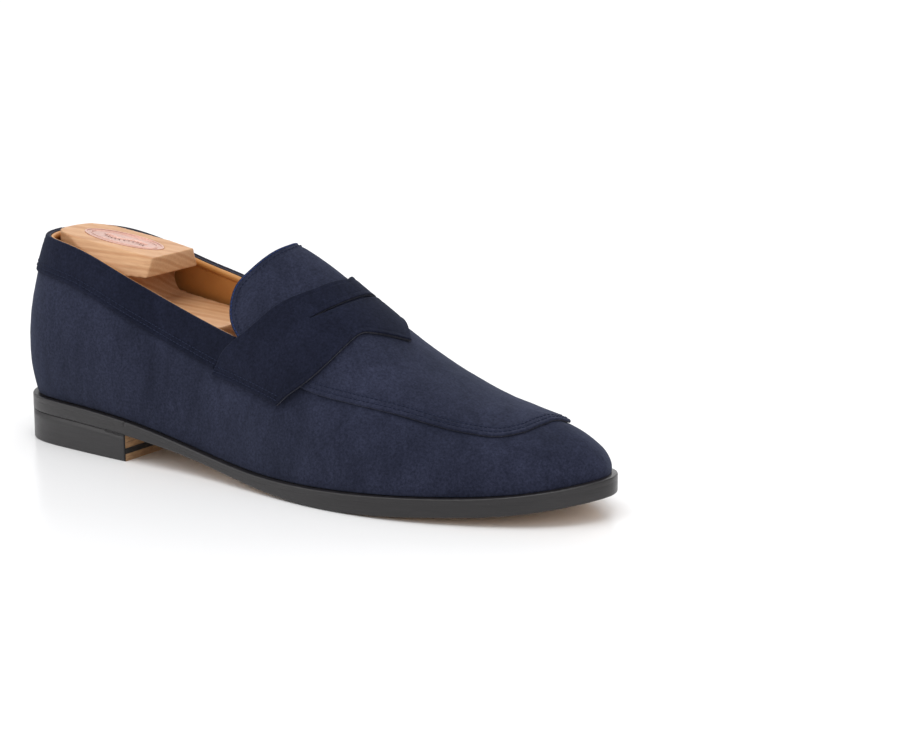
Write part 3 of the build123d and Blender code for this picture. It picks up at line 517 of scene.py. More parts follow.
def waxed_edge(name):
    """Black waxed sole edge with fine lengthwise lines."""
    material, nodes, links, shader = new_material(name)
    lines = object_place(nodes, links, (0.02, 0.02, 1.0))
    place = object_place(nodes, links)
    layer = noise_at(nodes, links, lines, 4200, 2, 0.5)
    cloud = noise_at(nodes, links, place, 60, 4, 0.6)
    color = ramp(nodes, links, layer, [(0.3, (0.0085, 0.0075, 0.0085)), (0.7, (0.0165, 0.0145, 0.0160))])
    links.new(color, shader.inputs["Base Color"])
    gloss = nodes.new("ShaderNodeMapRange")
    gloss.inputs["To Min"].default_value = 0.28
    gloss.inputs["To Max"].default_value = 0.46
    links.new(cloud, gloss.inputs["Value"])
    links.new(gloss.outputs["Result"], shader.inputs["Roughness"])
    shader.inputs["Specular IOR Level"].default_value = 0.5
    bump(nodes, links, shader, [(layer, 0.6, 0.00012), (cloud, 0.2, 0.0003)])
    return material


def tread_leather(name):
    """Bare sole leather: warm clouds and fibres that run lengthwise."""
    material, nodes, links, shader = new_material(name)
    place = object_place(nodes, links)
    stretched = object_place(nodes, links, (0.35, 1.0, 1.0))
    cloud = noise_at(nodes, links, place, 28, 5, 0.6, 0.4)
    fibre = noise_at(nodes, links, stretched, 700, 4, 0.7)
    base = ramp(nodes, links, cloud, [(0.3, (0.40, 0.235, 0.115)), (0.7, (0.56, 0.36, 0.19))])
    fine = ramp(nodes, links, fibre, [(0.3, (0.82, 0.8, 0.78)), (0.7, (1.08, 1.08, 1.08))])
    links.new(mix_colors(nodes, links, 0.6, base, fine, "MULTIPLY"), shader.inputs["Base Color"])
    shader.inputs["Roughness"].default_value = 0.42
    bump(nodes, links, shader, [(fibre, 0.4, 0.00008)])
    return material


def stacked_leather(name):
    """Cut edge of leather lifts: thin fibrous layers."""
    material, nodes, links, shader = new_material(name)
    flat = object_place(nodes, links, (0.12, 0.12, 1.0))
    layer = noise_at(nodes, links, flat, 1900, 4, 0.7)
    place = object_place(nodes, links)
    cloud = noise_at(nodes, links, place, 120, 4, 0.6)
    base = ramp(nodes, links, layer, [(0.3, (0.27, 0.15, 0.075)), (0.7, (0.52, 0.33, 0.18))])
    fine = ramp(nodes, links, cloud, [(0.3, (0.8, 0.78, 0.76)), (0.7, (1.1, 1.1, 1.1))])
    links.new(mix_colors(nodes, links, 0.6, base, fine, "MULTIPLY"), shader.inputs["Base Color"])
    shader.inputs["Roughness"].default_value = 0.62
    bump(nodes, links, shader, [(layer, 0.5, 0.0001)])
    return material


def rubber(name):
    """Matt black rubber."""
    material, nodes, links, shader = new_material(name)
    place = object_place(nodes, links)
    fine = noise_at(nodes, links, place, 1400, 3, 0.6)
    links.new(ramp(nodes, links, fine, [(0.3, (0.008, 0.008, 0.008)), (0.7, (0.022, 0.022, 0.023))]),
              shader.inputs["Base Color"])
    shader.inputs["Roughness"].default_value = 0.62
    bump(nodes, links, shader, [(fine, 0.5, 0.00008)])
    return material


def cedar(name):
    """Light cedar: growth rings round an axis below the block, fine lengthwise pores."""
    material, nodes, links, shader = new_material(name)
    place = object_place(nodes, links, (1, 1, 1), (0.02, 0.05, 0.0))
    wave = nodes.new("ShaderNodeTexWave")
    wave.wave_type = "RINGS"
    wave.rings_direction = "X"
    wave.inputs["Scale"].default_value = 60
    wave.inputs["Distortion"].default_value = 1.1
    wave.inputs["Detail"].default_value = 3
    wave.inputs["Detail Scale"].default_value = 1.2
    shifted = nodes.new("ShaderNodeMapping")
    shifted.inputs["Location"].default_value = (0, 0.045, 0.03)
    shifted.inputs["Scale"].default_value = (0.35, 1, 1)
    coordinates = nodes.new("ShaderNodeTexCoord")
    links.new(coordinates.outputs["Object"], shifted.inputs["Vector"])
    links.new(shifted.outputs["Vector"], wave.inputs["Vector"])
    long_grain = object_place(nodes, links, (0.06, 1.0, 1.0))
    pores = noise_at(nodes, links, long_grain, 1500, 3, 0.6)
    cloud = noise_at(nodes, links, place, 22, 3, 0.5)
    rings = ramp(nodes, links, wave.outputs["Fac"],
                 [(0.0, (0.56, 0.320, 0.170)), (0.6, (0.61, 0.375, 0.210)), (1.0, (0.50, 0.265, 0.130))])
    fine = ramp(nodes, links, pores, [(0.34, (0.86, 0.80, 0.74)), (0.6, (1.03, 1.02, 1.01))])
    tone = ramp(nodes, links, cloud, [(0.3, (0.92, 0.86, 0.80)), (0.7, (1.08, 1.06, 1.04))])
    grained = mix_colors(nodes, links, 0.7, rings, fine, "MULTIPLY")
    links.new(mix_colors(nodes, links, 0.8, grained, tone, "MULTIPLY"), shader.inputs["Base Color"])
    shader.inputs["Roughness"].default_value = 0.48
    shader.inputs["Specular IOR Level"].default_value = 0.35
    bump(nodes, links, shader, [(pores, 0.35, 0.00006), (wave.outputs["Fac"], 0.1, 0.0001)])
    return material


def metal(name, color, rough, brushed=(1, 1, 1)):
    """Metal with fine scratches, drawn out where it is brushed."""
    material, nodes, links, shader = new_material(name)
    place = object_place(nodes, links, brushed)
    fine = noise_at(nodes, links, place, 900, 3, 0.6)
    low = tuple(c * 0.86 for c in color)
    links.new(ramp(nodes, links, fine, [(0.3, low), (0.7, color)]), shader.inputs["Base Color"])
    shader.inputs["Metallic"].default_value = 1.0
    shader.inputs["Roughness"].default_value = rough
    bump(nodes, links, shader, [(fine, 0.25, 0.00003)])
    return material


def fibrous(name, dark, light, scale):
    """Matt grainy stuff such as board, cork, foam and cloth."""
    material, nodes, links, shader = new_material(name)
    place = object_place(nodes, links)
    grain = noise_at(nodes, links, place, scale, 4, 0.65)
    links.new(ramp(nodes, links, grain, [(0.32, dark), (0.68, light)]), shader.inputs["Base Color"])
    shader.inputs["Roughness"].default_value = 0.9
    bump(nodes, links, shader, [(grain, 0.6, 0.0002)])
    return material


def thread(name, color):
    """Twisted sewing thread."""
    material, nodes, links, shader = new_material(name)
    twist = object_place(nodes, links, (1, 1, 1), (0, 0.6, 0.7))
    strands = noise_at(nodes, links, twist, 2200, 2, 0.5)
    links.new(ramp(nodes, links, strands, [(0.3, tuple(c * 0.6 for c in color)), (0.7, color)]),
              shader.inputs["Base Color"])
    shader.inputs["Roughness"].default_value = 0.85
    shader.inputs["Specular IOR Level"].default_value = 0.15
    bump(nodes, links, shader, [(strands, 0.5, 0.00008)])
    return material


NAVY = suede("navy_suede_nap", (0.0115, 0.0135, 0.0265), (0.0245, 0.0275, 0.050), 0.10)
DARK_NAVY = suede("dark_navy_suede_nap", (0.0050, 0.0062, 0.0140), (0.0110, 0.0130, 0.0270), 0.06)
RAW_EDGE = suede("suede_cut_edge", (0.020, 0.020, 0.028), (0.050, 0.047, 0.055), 0.1)
THREAD = thread("navy_thread", (0.019, 0.025, 0.054))
BLUE_THREAD = thread("blue_thread", (0.028, 0.052, 0.170))
TAN = leather("tan_lining", (0.62, 0.30, 0.088), (0.48, 0.21, 0.055), 0.46)
SOCK = leather("sock_leather", (0.60, 0.30, 0.10), (0.47, 0.21, 0.06), 0.5)
WAX = waxed_edge("waxed_sole_edge")
TREAD = tread_leather("tread_leather")
LIFTS = stacked_leather("stacked_heel_leather")
RUBBER = rubber("heel_rubber")
CEDAR = cedar("cedar")
COPPER = metal("copper_plate", (0.78, 0.50, 0.42), 0.32)
STEEL = metal("tree_steel", (0.62, 0.63, 0.66), 0.25, (0.05, 1, 1))
ALUMINIUM = metal("tree_aluminium", (0.80, 0.80, 0.82), 0.35, (0.05, 1, 1))
BRASS = metal("nail_brass", (0.78, 0.60, 0.28), 0.3)
BOARD = fibrous("fibreboard", (0.42, 0.33, 0.22), (0.58, 0.49, 0.36), 500)
CORK = fibrous("cork_grain", (0.20, 0.11, 0.055), (0.46, 0.30, 0.17), 420)
FOAM = fibrous("foam", (0.62, 0.58, 0.48), (0.78, 0.75, 0.66), 900)
DRILL = fibrous("cotton_drill", (0.50, 0.42, 0.30), (0.68, 0.60, 0.46), 1300)

NODE_MATERIALS = {
    "welt": WAX, "heel_rand": WAX, "outsole": TREAD, "cork_filler": CORK, "steel_shank": STEEL,
    "heel_lift_upper": LIFTS, "heel_lift_lower": LIFTS, "heel_rubber_layer": RUBBER,
    "top_piece_leather": LIFTS, "top_piece_rubber": RUBBER, "heel_nails": BRASS,
    "insole_board": BOARD, "sock_lining": SOCK, "heel_cushion": FOAM,
    "side_panel": NAVY, "apron": NAVY, "penny_strap": DARK_NAVY, "collar_band": DARK_NAVY,
    "apron_lining": TAN, "quarter_lining_lateral": TAN, "quarter_lining_medial": TAN, "vamp_lining": DRILL,
    "heel_counter": BOARD, "toe_puff": BOARD, "side_stiffener_lateral": BOARD, "side_stiffener_medial": BOARD,
    "tree_heel_block": CEDAR, "tree_plate": COPPER, "plate_pins": COPPER, "tree_rods": STEEL,
    "tree_tubes": ALUMINIUM, "tree_springs": STEEL, "tree_bridge_block": CEDAR,
    "tree_forefoot_lateral": CEDAR, "tree_forefoot_medial": CEDAR, "tree_cross_pins": STEEL,
    "tree_cross_springs": STEEL,
}
for node_name, node in NODES.items():
    node.data.materials.clear()
    node.data.materials.append(NODE_MATERIALS[node_name])


# ---------------------------------------------------------------- side panel and collar
LAST_GIRTH = 720.0          # round the last's foot
SIDE_RISE = 62.0            # usual climb of the side panel
SEAM_SHARE = 0.0006         # half the open seam, as a share of the way round


def side_panel():
    """The suede round the shoe, from one side of its seam to the other."""
    us = SEAM_U + SEAM_SHARE + (1 - 2 * SEAM_SHARE) * clustered(LAST_GIRTH, NEAR, 0.9)
    top = panel_edge(us)
    shares = clustered(SIDE_RISE, NEAR, 1.15)
    grid_v = top[:, None] * shares[None, :]
    grid_u = np.repeat(us[:, None], len(shares), axis=1)
    base, normal = last_point(grid_u, grid_v), last_normal(grid_u, grid_v)
    relief = 0.16 * ripple(base, 34) + 0.05 * ripple(base, 9)
    piece = shell("side_panel_suede", base, normal, 0.0, -SUEDE, NAVY, RAW_EDGE, relief=relief)
    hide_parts("side_panel")
    return piece


def strap_corner_u(rise, side):
    """Place round the sole where the strap's rear edge meets a given rise."""
    target = float(strap_rear(rise))
    us = np.linspace(0.10, 0.34, 200) if side < 0 else np.linspace(0.66, 0.90, 200)
    xs = last_point(us, rise)[:, 0]
    order = np.argsort(xs)
    return float(np.interp(target, xs[order], us[order]))


def collar_end(share, side):
    """Place round the sole where a row of the collar stops, just behind the strap."""
    us = np.linspace(0.12, 0.30, 120) if side < 0 else np.linspace(0.70, 0.88, 120)
    low, high = topline_rise(us, COLLAR_WIDTH), topline_rise(us)
    rises = low + (high - low) * share
    limit = np.minimum(strap_rear(rises), tongue_edge(rises)) - COLLAR_END_GAP
    room = limit - last_point(us, rises)[:, 0]
    order = np.argsort(room)
    return float(np.interp(0.0, room[order], us[order]))


def collar_grid(shares):
    """Places of the collar's rows, from the inner end round the heel to the outer end."""
    start = np.array([collar_end(share, 1) for share in shares])
    end = np.array([1 + collar_end(share, -1) for share in shares])
    along = clustered(270.0, NEAR, 0.8)[:, None]
    grid_u = start[None, :] + (end - start)[None, :] * along
    low = topline_rise(grid_u.ravel(), COLLAR_WIDTH).reshape(grid_u.shape)
    high = topline_rise(grid_u.ravel(), 0.0).reshape(grid_u.shape)
    grid_v = low + (high - low) * np.asarray(shares)[None, :]
    return grid_u, grid_v


STITCH_ROWS = (2.0, 4.2)     # distances of the double stitch row from an edge


def collar_band():
    """The band of darker suede round the topline."""
    shares = clustered(COLLAR_WIDTH, NEAR, 0.45)
    grid_u, grid_v = collar_grid(shares)
    base, normal = last_point(grid_u, grid_v), last_normal(grid_u, grid_v)
    relief = 0.10 * ripple(base, 22)
    piece = shell("collar_band_suede", base, normal, GAP + COLLAR, GAP, DARK_NAVY, RAW_EDGE, radius=0.6,
                  relief=relief, grooves=[(0.14, distance, 0.5) for distance in STITCH_ROWS])
    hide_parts("collar_band")
    return piece


# ---------------------------------------------------------------- apron
TABLE_U, TABLE_V = np.meshgrid(np.linspace(0.13, 0.87, 900), np.linspace(0.25, 1, 160), indexing="ij")
TABLE = last_point(TABLE_U, TABLE_V).reshape(-1, 3)
TABLE_TREE = kdtree.KDTree(len(TABLE))
for index, place in enumerate(TABLE):
    TABLE_TREE.insert((place[0], place[1], 0.0), index)
TABLE_TREE.balance()


def over_plan(plan, neighbours=24):
    """Points of the last over plan points, and the normals there, from local fits."""
    flat = plan.reshape(-1, 2)
    near = np.array([[hit[1] for hit in TABLE_TREE.find_n((x, y, 0.0), neighbours)] for x, y in flat])
    local = TABLE[near]
    dx = local[..., 0] - flat[:, None, 0]
    dy = local[..., 1] - flat[:, None, 1]
    design = np.stack([np.ones_like(dx), dx, dy], -1)
    fit = np.linalg.pinv(design) @ local[..., 2:3]
    fit = fit[..., 0]
    normal = np.stack([-fit[:, 1], -fit[:, 2], np.ones(len(fit))], -1)
    normal /= np.linalg.norm(normal, axis=1, keepdims=True)
    point = np.concatenate([flat, fit[:, :1]], 1)
    return point.reshape(*plan.shape[:-1], 3), normal.reshape(*plan.shape[:-1], 3)


def curve_points(points, shares):
    """Plan points at given shares of the length of a smooth curve through points."""
    points = np.asarray(points, float)
    run = np.concatenate([[0], np.cumsum(np.linalg.norm(np.diff(points, axis=0), axis=1))])
    return np.column_stack([spline_through(run, points[:, k])(np.asarray(shares) * run[-1]) for k in (0, 1)])


def tongue_point(rise, x, side):
    """Plan point at a given rise and x on the outer (-1) or inner (+1) side."""
    us = np.linspace(0.15, 0.34, 200) if side < 0 else np.linspace(0.66, 0.85, 200)
    xs = last_point(us, rise)[:, 0]
    order = np.argsort(xs)
    u = float(np.interp(x, xs[order], us[order]))
    return last_point(u, rise)[:2]


def seam_point(u):
    """Plan point of the apron's sewn edge."""
    return last_point(u, float(apron_edge(u)))[:2]


def apron_outline():
    """The four plan curves that bound the apron with its tongue."""
    mirrored = 2 * APRON_MIDDLE_U
    side = np.linspace(APRON_REAR_U, APRON_CORNER_U, 12)
    outer_side = [seam_point(u) for u in side]
    inner_side = [seam_point(mirrored - u) for u in side]
    front = [seam_point(u) for u in np.linspace(APRON_CORNER_U, mirrored - APRON_CORNER_U, 9)]
    rear = [outer_side[0]]
    rear += [tongue_point(rise, x, -1) for rise, x in TONGUE_EDGE]
    rear += [np.array([TONGUE_MIDDLE_X, float(spine_side(TONGUE_MIDDLE_X))])]
    rear += [tongue_point(rise, x, 1) for rise, x in reversed(TONGUE_EDGE)]
    rear += [inner_side[0]]
    return outer_side, inner_side, rear, front


def smoothed(grid, rounds):
    """Grid with its inner points moved to the mean of their four neighbours."""
    for _ in range(rounds):
        mean = (grid[:-2, 1:-1] + grid[2:, 1:-1] + grid[1:-1, :-2] + grid[1:-1, 2:]) / 4
        grid[1:-1, 1:-1] = 0.5 * grid[1:-1, 1:-1] + 0.5 * mean
    return grid


APRON_ROWS = (2.1, 4.3)      # distances of its double stitch row from the edge


def apron():
    """The plug over the toes with its tongue, its sewn edge and its tongue edge."""
    outer_side, inner_side, rear, front = apron_outline()
    along = clustered(140.0, NEAR, 0.75)
    across = clustered(80.0, NEAR, 0.6)
    left, right = curve_points(outer_side, along), curve_points(inner_side, along)
    back, nose = curve_points(rear, across), curve_points(front, across)
    s, t = along[:, None, None], across[None, :, None]
    edges = (1 - s) * back[None] + s * nose[None] + (1 - t) * left[:, None] + t * right[:, None]
    corners = (1 - s) * ((1 - t) * left[0] + t * right[0]) + s * ((1 - t) * left[-1] + t * right[-1])
    base, normal = over_plan(edges - corners)
    normal = smoothed(normal, 6)
    normal /= np.linalg.norm(normal, axis=-1, keepdims=True)
    relief = 0.12 * ripple(base, 30) + 0.04 * ripple(base, 8)
    piece = shell("apron_suede", base, normal, APRON_GAP + SUEDE, APRON_GAP, NAVY, RAW_EDGE, radius=0.75,
                  relief=relief, grooves=[(0.16, distance, 0.55) for distance in APRON_ROWS])
    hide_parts("apron")
    seam = np.concatenate([base[:, 0], base[-1, 1:-1], base[::-1, -1]])
    return piece, seam, base[0]


# ---------------------------------------------------------------- strap
def strap_height(u, v):
    """The strap lies on the side panel and climbs onto the apron."""
    edge = apron_edge(u)
    return STRAP_GAP + (SUEDE + APRON_GAP) * smooth_step(v, edge - 0.12, edge - 0.04)


def slit_line(y, middle_x):
    """x of one side of the slit: an arc through both slit ends and the middle."""
    sagitta = middle_x - SLIT_ENDS_X
    radius = (SLIT_HALF ** 2 + sagitta ** 2) / (2 * sagitta)
    offset = np.clip(np.abs(y - float(spine_side(SLIT_MIDDLE_X))), 0, SLIT_HALF)
    return middle_x - radius + np.sqrt(radius ** 2 - offset ** 2)


def strap_columns():
    """Rises along one half of the strap, close together near its end."""
    half = clustered(130.0, NEAR, 0.65)
    half = half[half <= 0.5] * 2
    return 0.30 + 0.70 * half


def penny_strap():
    """The strap over the apron with its open slit, and its top surface."""
    rises = strap_columns()
    columns = [(rise, -1) for rise in rises] + [(rise, 1) for rise in rises[-2::-1]]
    rear_shares = clustered(20.0, NEAR, 0.6)
    front_shares = clustered(20.0, NEAR, 0.6)
    base, normal, height, open_cell = [], [], [], []
    for rise, side in columns:
        us = np.linspace(0.10, 0.40, 260) if side < 0 else np.linspace(0.60, 0.90, 260)
        ribs = last_point(us, rise)
        order = np.argsort(ribs[:, 0])
        x_rear, x_front = float(strap_rear(rise)), float(strap_front(rise))
        y = float(np.interp((x_rear + x_front) / 2, ribs[order, 0], ribs[order, 1]))
        cut_rear = float(slit_line(y, SLIT_MIDDLE_X - SLIT_WIDTH / 2))
        cut_front = float(slit_line(y, SLIT_MIDDLE_X + SLIT_WIDTH / 2))
        near_end = abs(y - float(spine_side(SLIT_MIDDLE_X))) < SLIT_HALF - 0.4
        share = (cut_rear - x_rear) / (x_front - x_rear)
        if not near_end:
            share = np.clip(share, 0.25, 0.75)
            cut_rear = x_rear + share * (x_front - x_rear)
            cut_front = cut_rear + 0.04
        row_x = np.concatenate([x_rear + (cut_rear - x_rear) * rear_shares,
                                cut_front + (x_front - cut_front) * front_shares])
        row_u = np.interp(row_x, ribs[order, 0], us[order])
        row_v = np.full(len(row_u), rise)
        base.append(last_point(row_u, row_v))
        normal.append(last_normal(row_u, row_v))
        height.append(strap_height(row_u, row_v))
        open_cell.append(near_end)
    base, normal, height = np.array(base), np.array(normal), np.array(height)
    cells = np.ones((base.shape[0] - 1, base.shape[1] - 1), bool)
    gap_row = len(rear_shares) - 1
    cut = np.array(open_cell[:-1]) & np.array(open_cell[1:])
    cells[cut, gap_row] = False
    relief = 0.10 * ripple(base, 26)
    piece = shell("penny_strap_suede", base, normal, height + STRAP, height, DARK_NAVY, RAW_EDGE, cells,
                  radius=0.5, relief=relief, grooves=[(0.12, 2.2, 0.5)])
    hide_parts("penny_strap")
    top = base + normal * (height + STRAP)[..., None]
    return piece, top


# ---------------------------------------------------------------- stitching
class Skin:
    """The shown outer surface of a piece, to lay threads on."""

    def __init__(self, piece):
        dependencies = bpy.context.evaluated_depsgraph_get()
        self.tree = bvhtree.BVHTree.FromObject(piece, dependencies)

    def at(self, points, reference):
        """Nearest places on the surface and their normals, in working millimetres."""
        places, normals = [], []
        for point, out in zip(metres(points), reference):
            place, normal, _, _ = self.tree.find_nearest(point)
            normal = np.array(normal)
            if normal @ out < 0.2:
                place, normal = point, out
            places.append(np.array(place) * 1000 + SHIFT)
            normals.append(normal)
        return np.array(places), np.array(normals)


def inset_path(path, outward, distance, pitch=0.6):
    """Path moved across the surface away from its edge; outward is the surface normal on the path."""
    run = np.concatenate([[0], np.cumsum(np.linalg.norm(np.diff(path, axis=0), axis=1))])
    keep = np.concatenate([[True], np.diff(run) > 1e-6])
    path, outward, run = path[keep], outward[keep], run[keep]
    even = np.linspace(0, run[-1], max(int(run[-1] / pitch), 4))
    path = np.column_stack([np.interp(even, run, path[:, k]) for k in range(3)])
    outward = np.column_stack([np.interp(even, run, outward[:, k]) for k in range(3)])
    tangent = np.gradient(path, axis=0)
    for _ in range(12):
        tangent[1:-1] = (tangent[:-2] + 2 * tangent[1:-1] + tangent[2:]) / 4
    tangent /= np.linalg.norm(tangent, axis=1, keepdims=True)
    across = np.cross(outward, tangent)
    across /= np.linalg.norm(across, axis=1, keepdims=True)
    return path + across * distance, outward


STITCH_RADIUS = 0.22
STITCH_ARCH = np.array([-0.28, 0.10, 0.17, 0.17, 0.10, -0.28])
STITCH_SIDES = 6


def stitches(paths, length=1.55, space=0.45):
    """Vertices and faces of thread stitches laid along paths of (points, normals)."""
    points, faces = [], []
    for path, outward in paths:
        run = np.concatenate([[0], np.cumsum(np.linalg.norm(np.diff(path, axis=0), axis=1))])
        count = int(run[-1] / (length + space))
        for k in range(count):
            start = (k + 0.5) * run[-1] / count - length / 2
            along = start + np.linspace(0, 1, len(STITCH_ARCH)) * length
            middle = np.column_stack([np.interp(along, run, path[:, i]) for i in range(3)])
            out = np.column_stack([np.interp(along, run, outward[:, i]) for i in range(3)])
            out /= np.linalg.norm(out, axis=1, keepdims=True)
            middle = middle + out * STITCH_ARCH[:, None]
            tangent = np.gradient(middle, axis=0)
            tangent /= np.linalg.norm(tangent, axis=1, keepdims=True)
            side = np.cross(tangent, out)
            side /= np.linalg.norm(side, axis=1, keepdims=True)
            up = np.cross(side, tangent)
            first = len(points)
            for i in range(len(middle)):
                for a in np.arange(STITCH_SIDES) * 2 * math.pi / STITCH_SIDES:
                    points.append(middle[i] + STITCH_RADIUS * (math.cos(a) * side[i] + math.sin(a) * up[i]))
            for i in range(len(middle) - 1):
                for j in range(STITCH_SIDES):
                    a = first + i * STITCH_SIDES + j
                    b = first + i * STITCH_SIDES + (j + 1) % STITCH_SIDES
                    faces.append((a, b, b + STITCH_SIDES, a + STITCH_SIDES))
            faces.append(tuple(first + j for j in range(STITCH_SIDES))[::-1])
            last = first + (len(middle) - 1) * STITCH_SIDES
            faces.append(tuple(last + j for j in range(STITCH_SIDES)))
    return points, faces


def stitch_piece(name, skin, rows, material, length=1.55, space=0.45):
    """Rows of stitches laid on a skin, as one piece."""
    paths = []
    for path, outward in rows:
        place, normal = skin.at(path, outward)
        paths.append((place, normal))
    points, faces = stitches(paths, length, space)
    mesh_object(name, np.array(points), faces, "shoe", (material,))


def surface_normals(points):
    """Outward directions of the last near given points, by their plan place."""
    return over_plan(points[:, :2])[1]


# ---------------------------------------------------------------- sole and welt
def swept_strip(name, points, material):
    """Closed solid over rows of cross-sections, with both ends capped."""
    rows, columns = points.shape[:2]
    index = np.arange(rows * columns).reshape(rows, columns)
    faces = []
    for i in range(rows - 1):
        for j in range(columns):
            right = (j + 1) % columns
            faces.append((index[i, j], index[i, right], index[i + 1, right], index[i + 1, j]))
    faces.append(tuple(index[0, ::-1]))
    faces.append(tuple(index[-1]))
    return mesh_object(name, points.reshape(-1, 3), faces, "shoe", (material,))


WELT_ROUND = 0.75            # radius of the welt's upper corner
FLUSH_ROUND = 0.04           # radius where two edges meet flush


def welt_section(x):
    """Cross-section of the welt as (inset, height) pairs, round on its outer side."""
    top = float(welt_top(x))
    low = top - WELT_THICKNESS
    points = [(RAND_WIDTH, top)]
    for a in np.linspace(0, math.pi / 2, 6):
        points.append((WELT_ROUND * (1 - math.sin(a)), top - WELT_ROUND * (1 - math.cos(a))))
    for a in np.linspace(0, math.pi / 2, 5):
        points.append((FLUSH_ROUND * (1 - math.cos(a)), low + FLUSH_ROUND * (1 - math.sin(a))))
    points.append((RAND_WIDTH, low))
    return np.array(points)


def along_sole_edge(us, section_at):
    """Rows of working points: section_at(x) gives (inset, height) pairs at each place u."""
    rows = []
    for u in us:
        section = section_at(float(sole_edge(u)[0]))
        plan = edge_point(np.full(len(section), u), section[:, 0])[0]
        rows.append(np.column_stack([plan, section[:, 1]]))
    return np.array(rows)


def breast_u(side):
    """Place round the sole edge of the heel breast on the outer (-1) or inner (+1) side."""
    us = np.linspace(0.05, 0.30, 800) if side < 0 else np.linspace(0.70, 0.95, 800)
    xs = sole_edge(us)[:, 0]
    order = np.argsort(xs)
    return float(np.interp(HEEL_BREAST_X, xs[order], us[order]))


def welt_pieces():
    """The welt from breast to breast round the toe, and the rand round the heel."""
    outer, inner = breast_u(-1), breast_u(1)
    front = swept_strip("welt_edge", along_sole_edge(np.linspace(outer, inner, 420), welt_section), WAX)
    round_heel = np.linspace(inner - 1, outer, 200)
    rear = swept_strip("heel_rand_edge", along_sole_edge(round_heel, welt_section), WAX)
    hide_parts("welt")
    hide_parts("heel_rand")


TREAD_ROUND = 0.7            # radius of the outsole's lower corner
# faint closed channel under the sole, as (inset, depth) pairs
CHANNEL = [(1.6, 0.0), (2.6, 0.0), (5.0, 0.0), (5.25, 0.14), (5.5, 0.2), (5.75, 0.14), (6.0, 0.0)]
SOLE_AXIS = (30, 262)        # x over which the sole's middle line runs


def outsole():
    """Outsole with a rounded waxed edge and an even tread face."""
    us = np.linspace(0, 1, 480, endpoint=False)
    edge_x = sole_edge(us)[:, 0]
    centre_x = np.clip(edge_x, *SOLE_AXIS)
    centre = np.column_stack([centre_x, spine_side(centre_x)])

    def edge_row(inset, z):
        return np.column_stack([edge_point(us, np.full(len(us), inset))[0], z])

    rows = []
    for share in (0.0, 0.35, 0.7, 0.9):
        plan = centre + (edge_point(us, np.full(len(us), 1.2))[0] - centre) * share
        rows.append(np.column_stack([plan, welt_top(plan[:, 0]) - WELT_THICKNESS - GAP]))
    black_from = len(rows) - 1
    for a in np.linspace(0, math.pi / 2, 6):
        z = welt_top(edge_x) - WELT_THICKNESS - FLUSH_ROUND * (1 - math.cos(a))
        rows.append(edge_row(FLUSH_ROUND * (1 - math.sin(a)), z))
    for a in np.linspace(0, math.pi / 2, 7):
        z = sole_bottom(edge_x) + TREAD_ROUND * (1 - math.sin(a))
        rows.append(edge_row(TREAD_ROUND * (1 - math.cos(a)), z))
    black_to = len(rows)
    for inset, depth in CHANNEL:
        plan = edge_point(us, np.full(len(us), inset))[0]
        rows.append(np.column_stack([plan, sole_bottom(plan[:, 0]) + depth]))
    rim = edge_point(us, np.full(len(us), CHANNEL[-1][0]))[0]
    for share in np.linspace(0.92, 0.0, 14):
        plan = centre + (rim - centre) * share
        rows.append(np.column_stack([plan, sole_bottom(plan[:, 0])]))
    grid = np.array(rows)
    count, columns = grid.shape[:2]
    index = np.arange(count * columns).reshape(count, columns)
    faces, materials = [], []
    for i in range(count - 1):
        for j in range(columns):
            right = (j + 1) % columns
            faces.append((index[i, j], index[i, right], index[i + 1, right], index[i + 1, j]))
            materials.append(1 if black_from <= i + 1 and i < black_to else 0)
    piece = mesh_object("outsole_leather", grid.reshape(-1, 3), faces, "shoe", (TREAD, WAX), materials)
    weld(piece)
    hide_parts("outsole")


COAT_INSET = 0.10            # the coat's outer face, in from the sole's edge
COAT_THICKNESS = 0.38
COAT_LOW = 0.35              # its lower end over the ground
COAT_ROUND = 0.4
BREAST_MARGIN = 0.0003       # keeps its ends inside the breast, as a share of the way round


def coat_section(x):
    """Cross-section of the coat as (inset, height) pairs."""
    top = float(sole_bottom(x)) - 0.02
    section = [(COAT_INSET + COAT_THICKNESS, top), (COAT_INSET, top)]
    section += [(COAT_INSET, top + (COAT_LOW + COAT_ROUND - top) * share) for share in (0.25, 0.5, 0.75)]
    section += [(COAT_INSET + COAT_ROUND * (1 - math.cos(a)), COAT_LOW + COAT_ROUND * (1 - math.sin(a)))
                for a in np.linspace(0, math.pi / 2, 5)]
    return np.array(section)


def heel_edge_finish():
    """One coat of wax over the outside of the heel's layers, from breast to breast."""
    us = np.linspace(breast_u(1) - 1 + BREAST_MARGIN, breast_u(-1) - BREAST_MARGIN, 220)
    weld(swept_strip("heel_edge_finish", along_sole_edge(us, coat_section), WAX))


SOLE_GIRTH = 742.0
NICK_COUNT = 16
NICK_PITCH = 0.85
NICK_WIDTH = 0.52
NICK_HEIGHT = 1.0
NICK_INSETS = (0.6, -0.14)
BOX_FACES = ((0, 2, 4, 6), (1, 7, 5, 3), (0, 1, 3, 2), (2, 3, 5, 4), (4, 5, 7, 6), (6, 7, 1, 0))


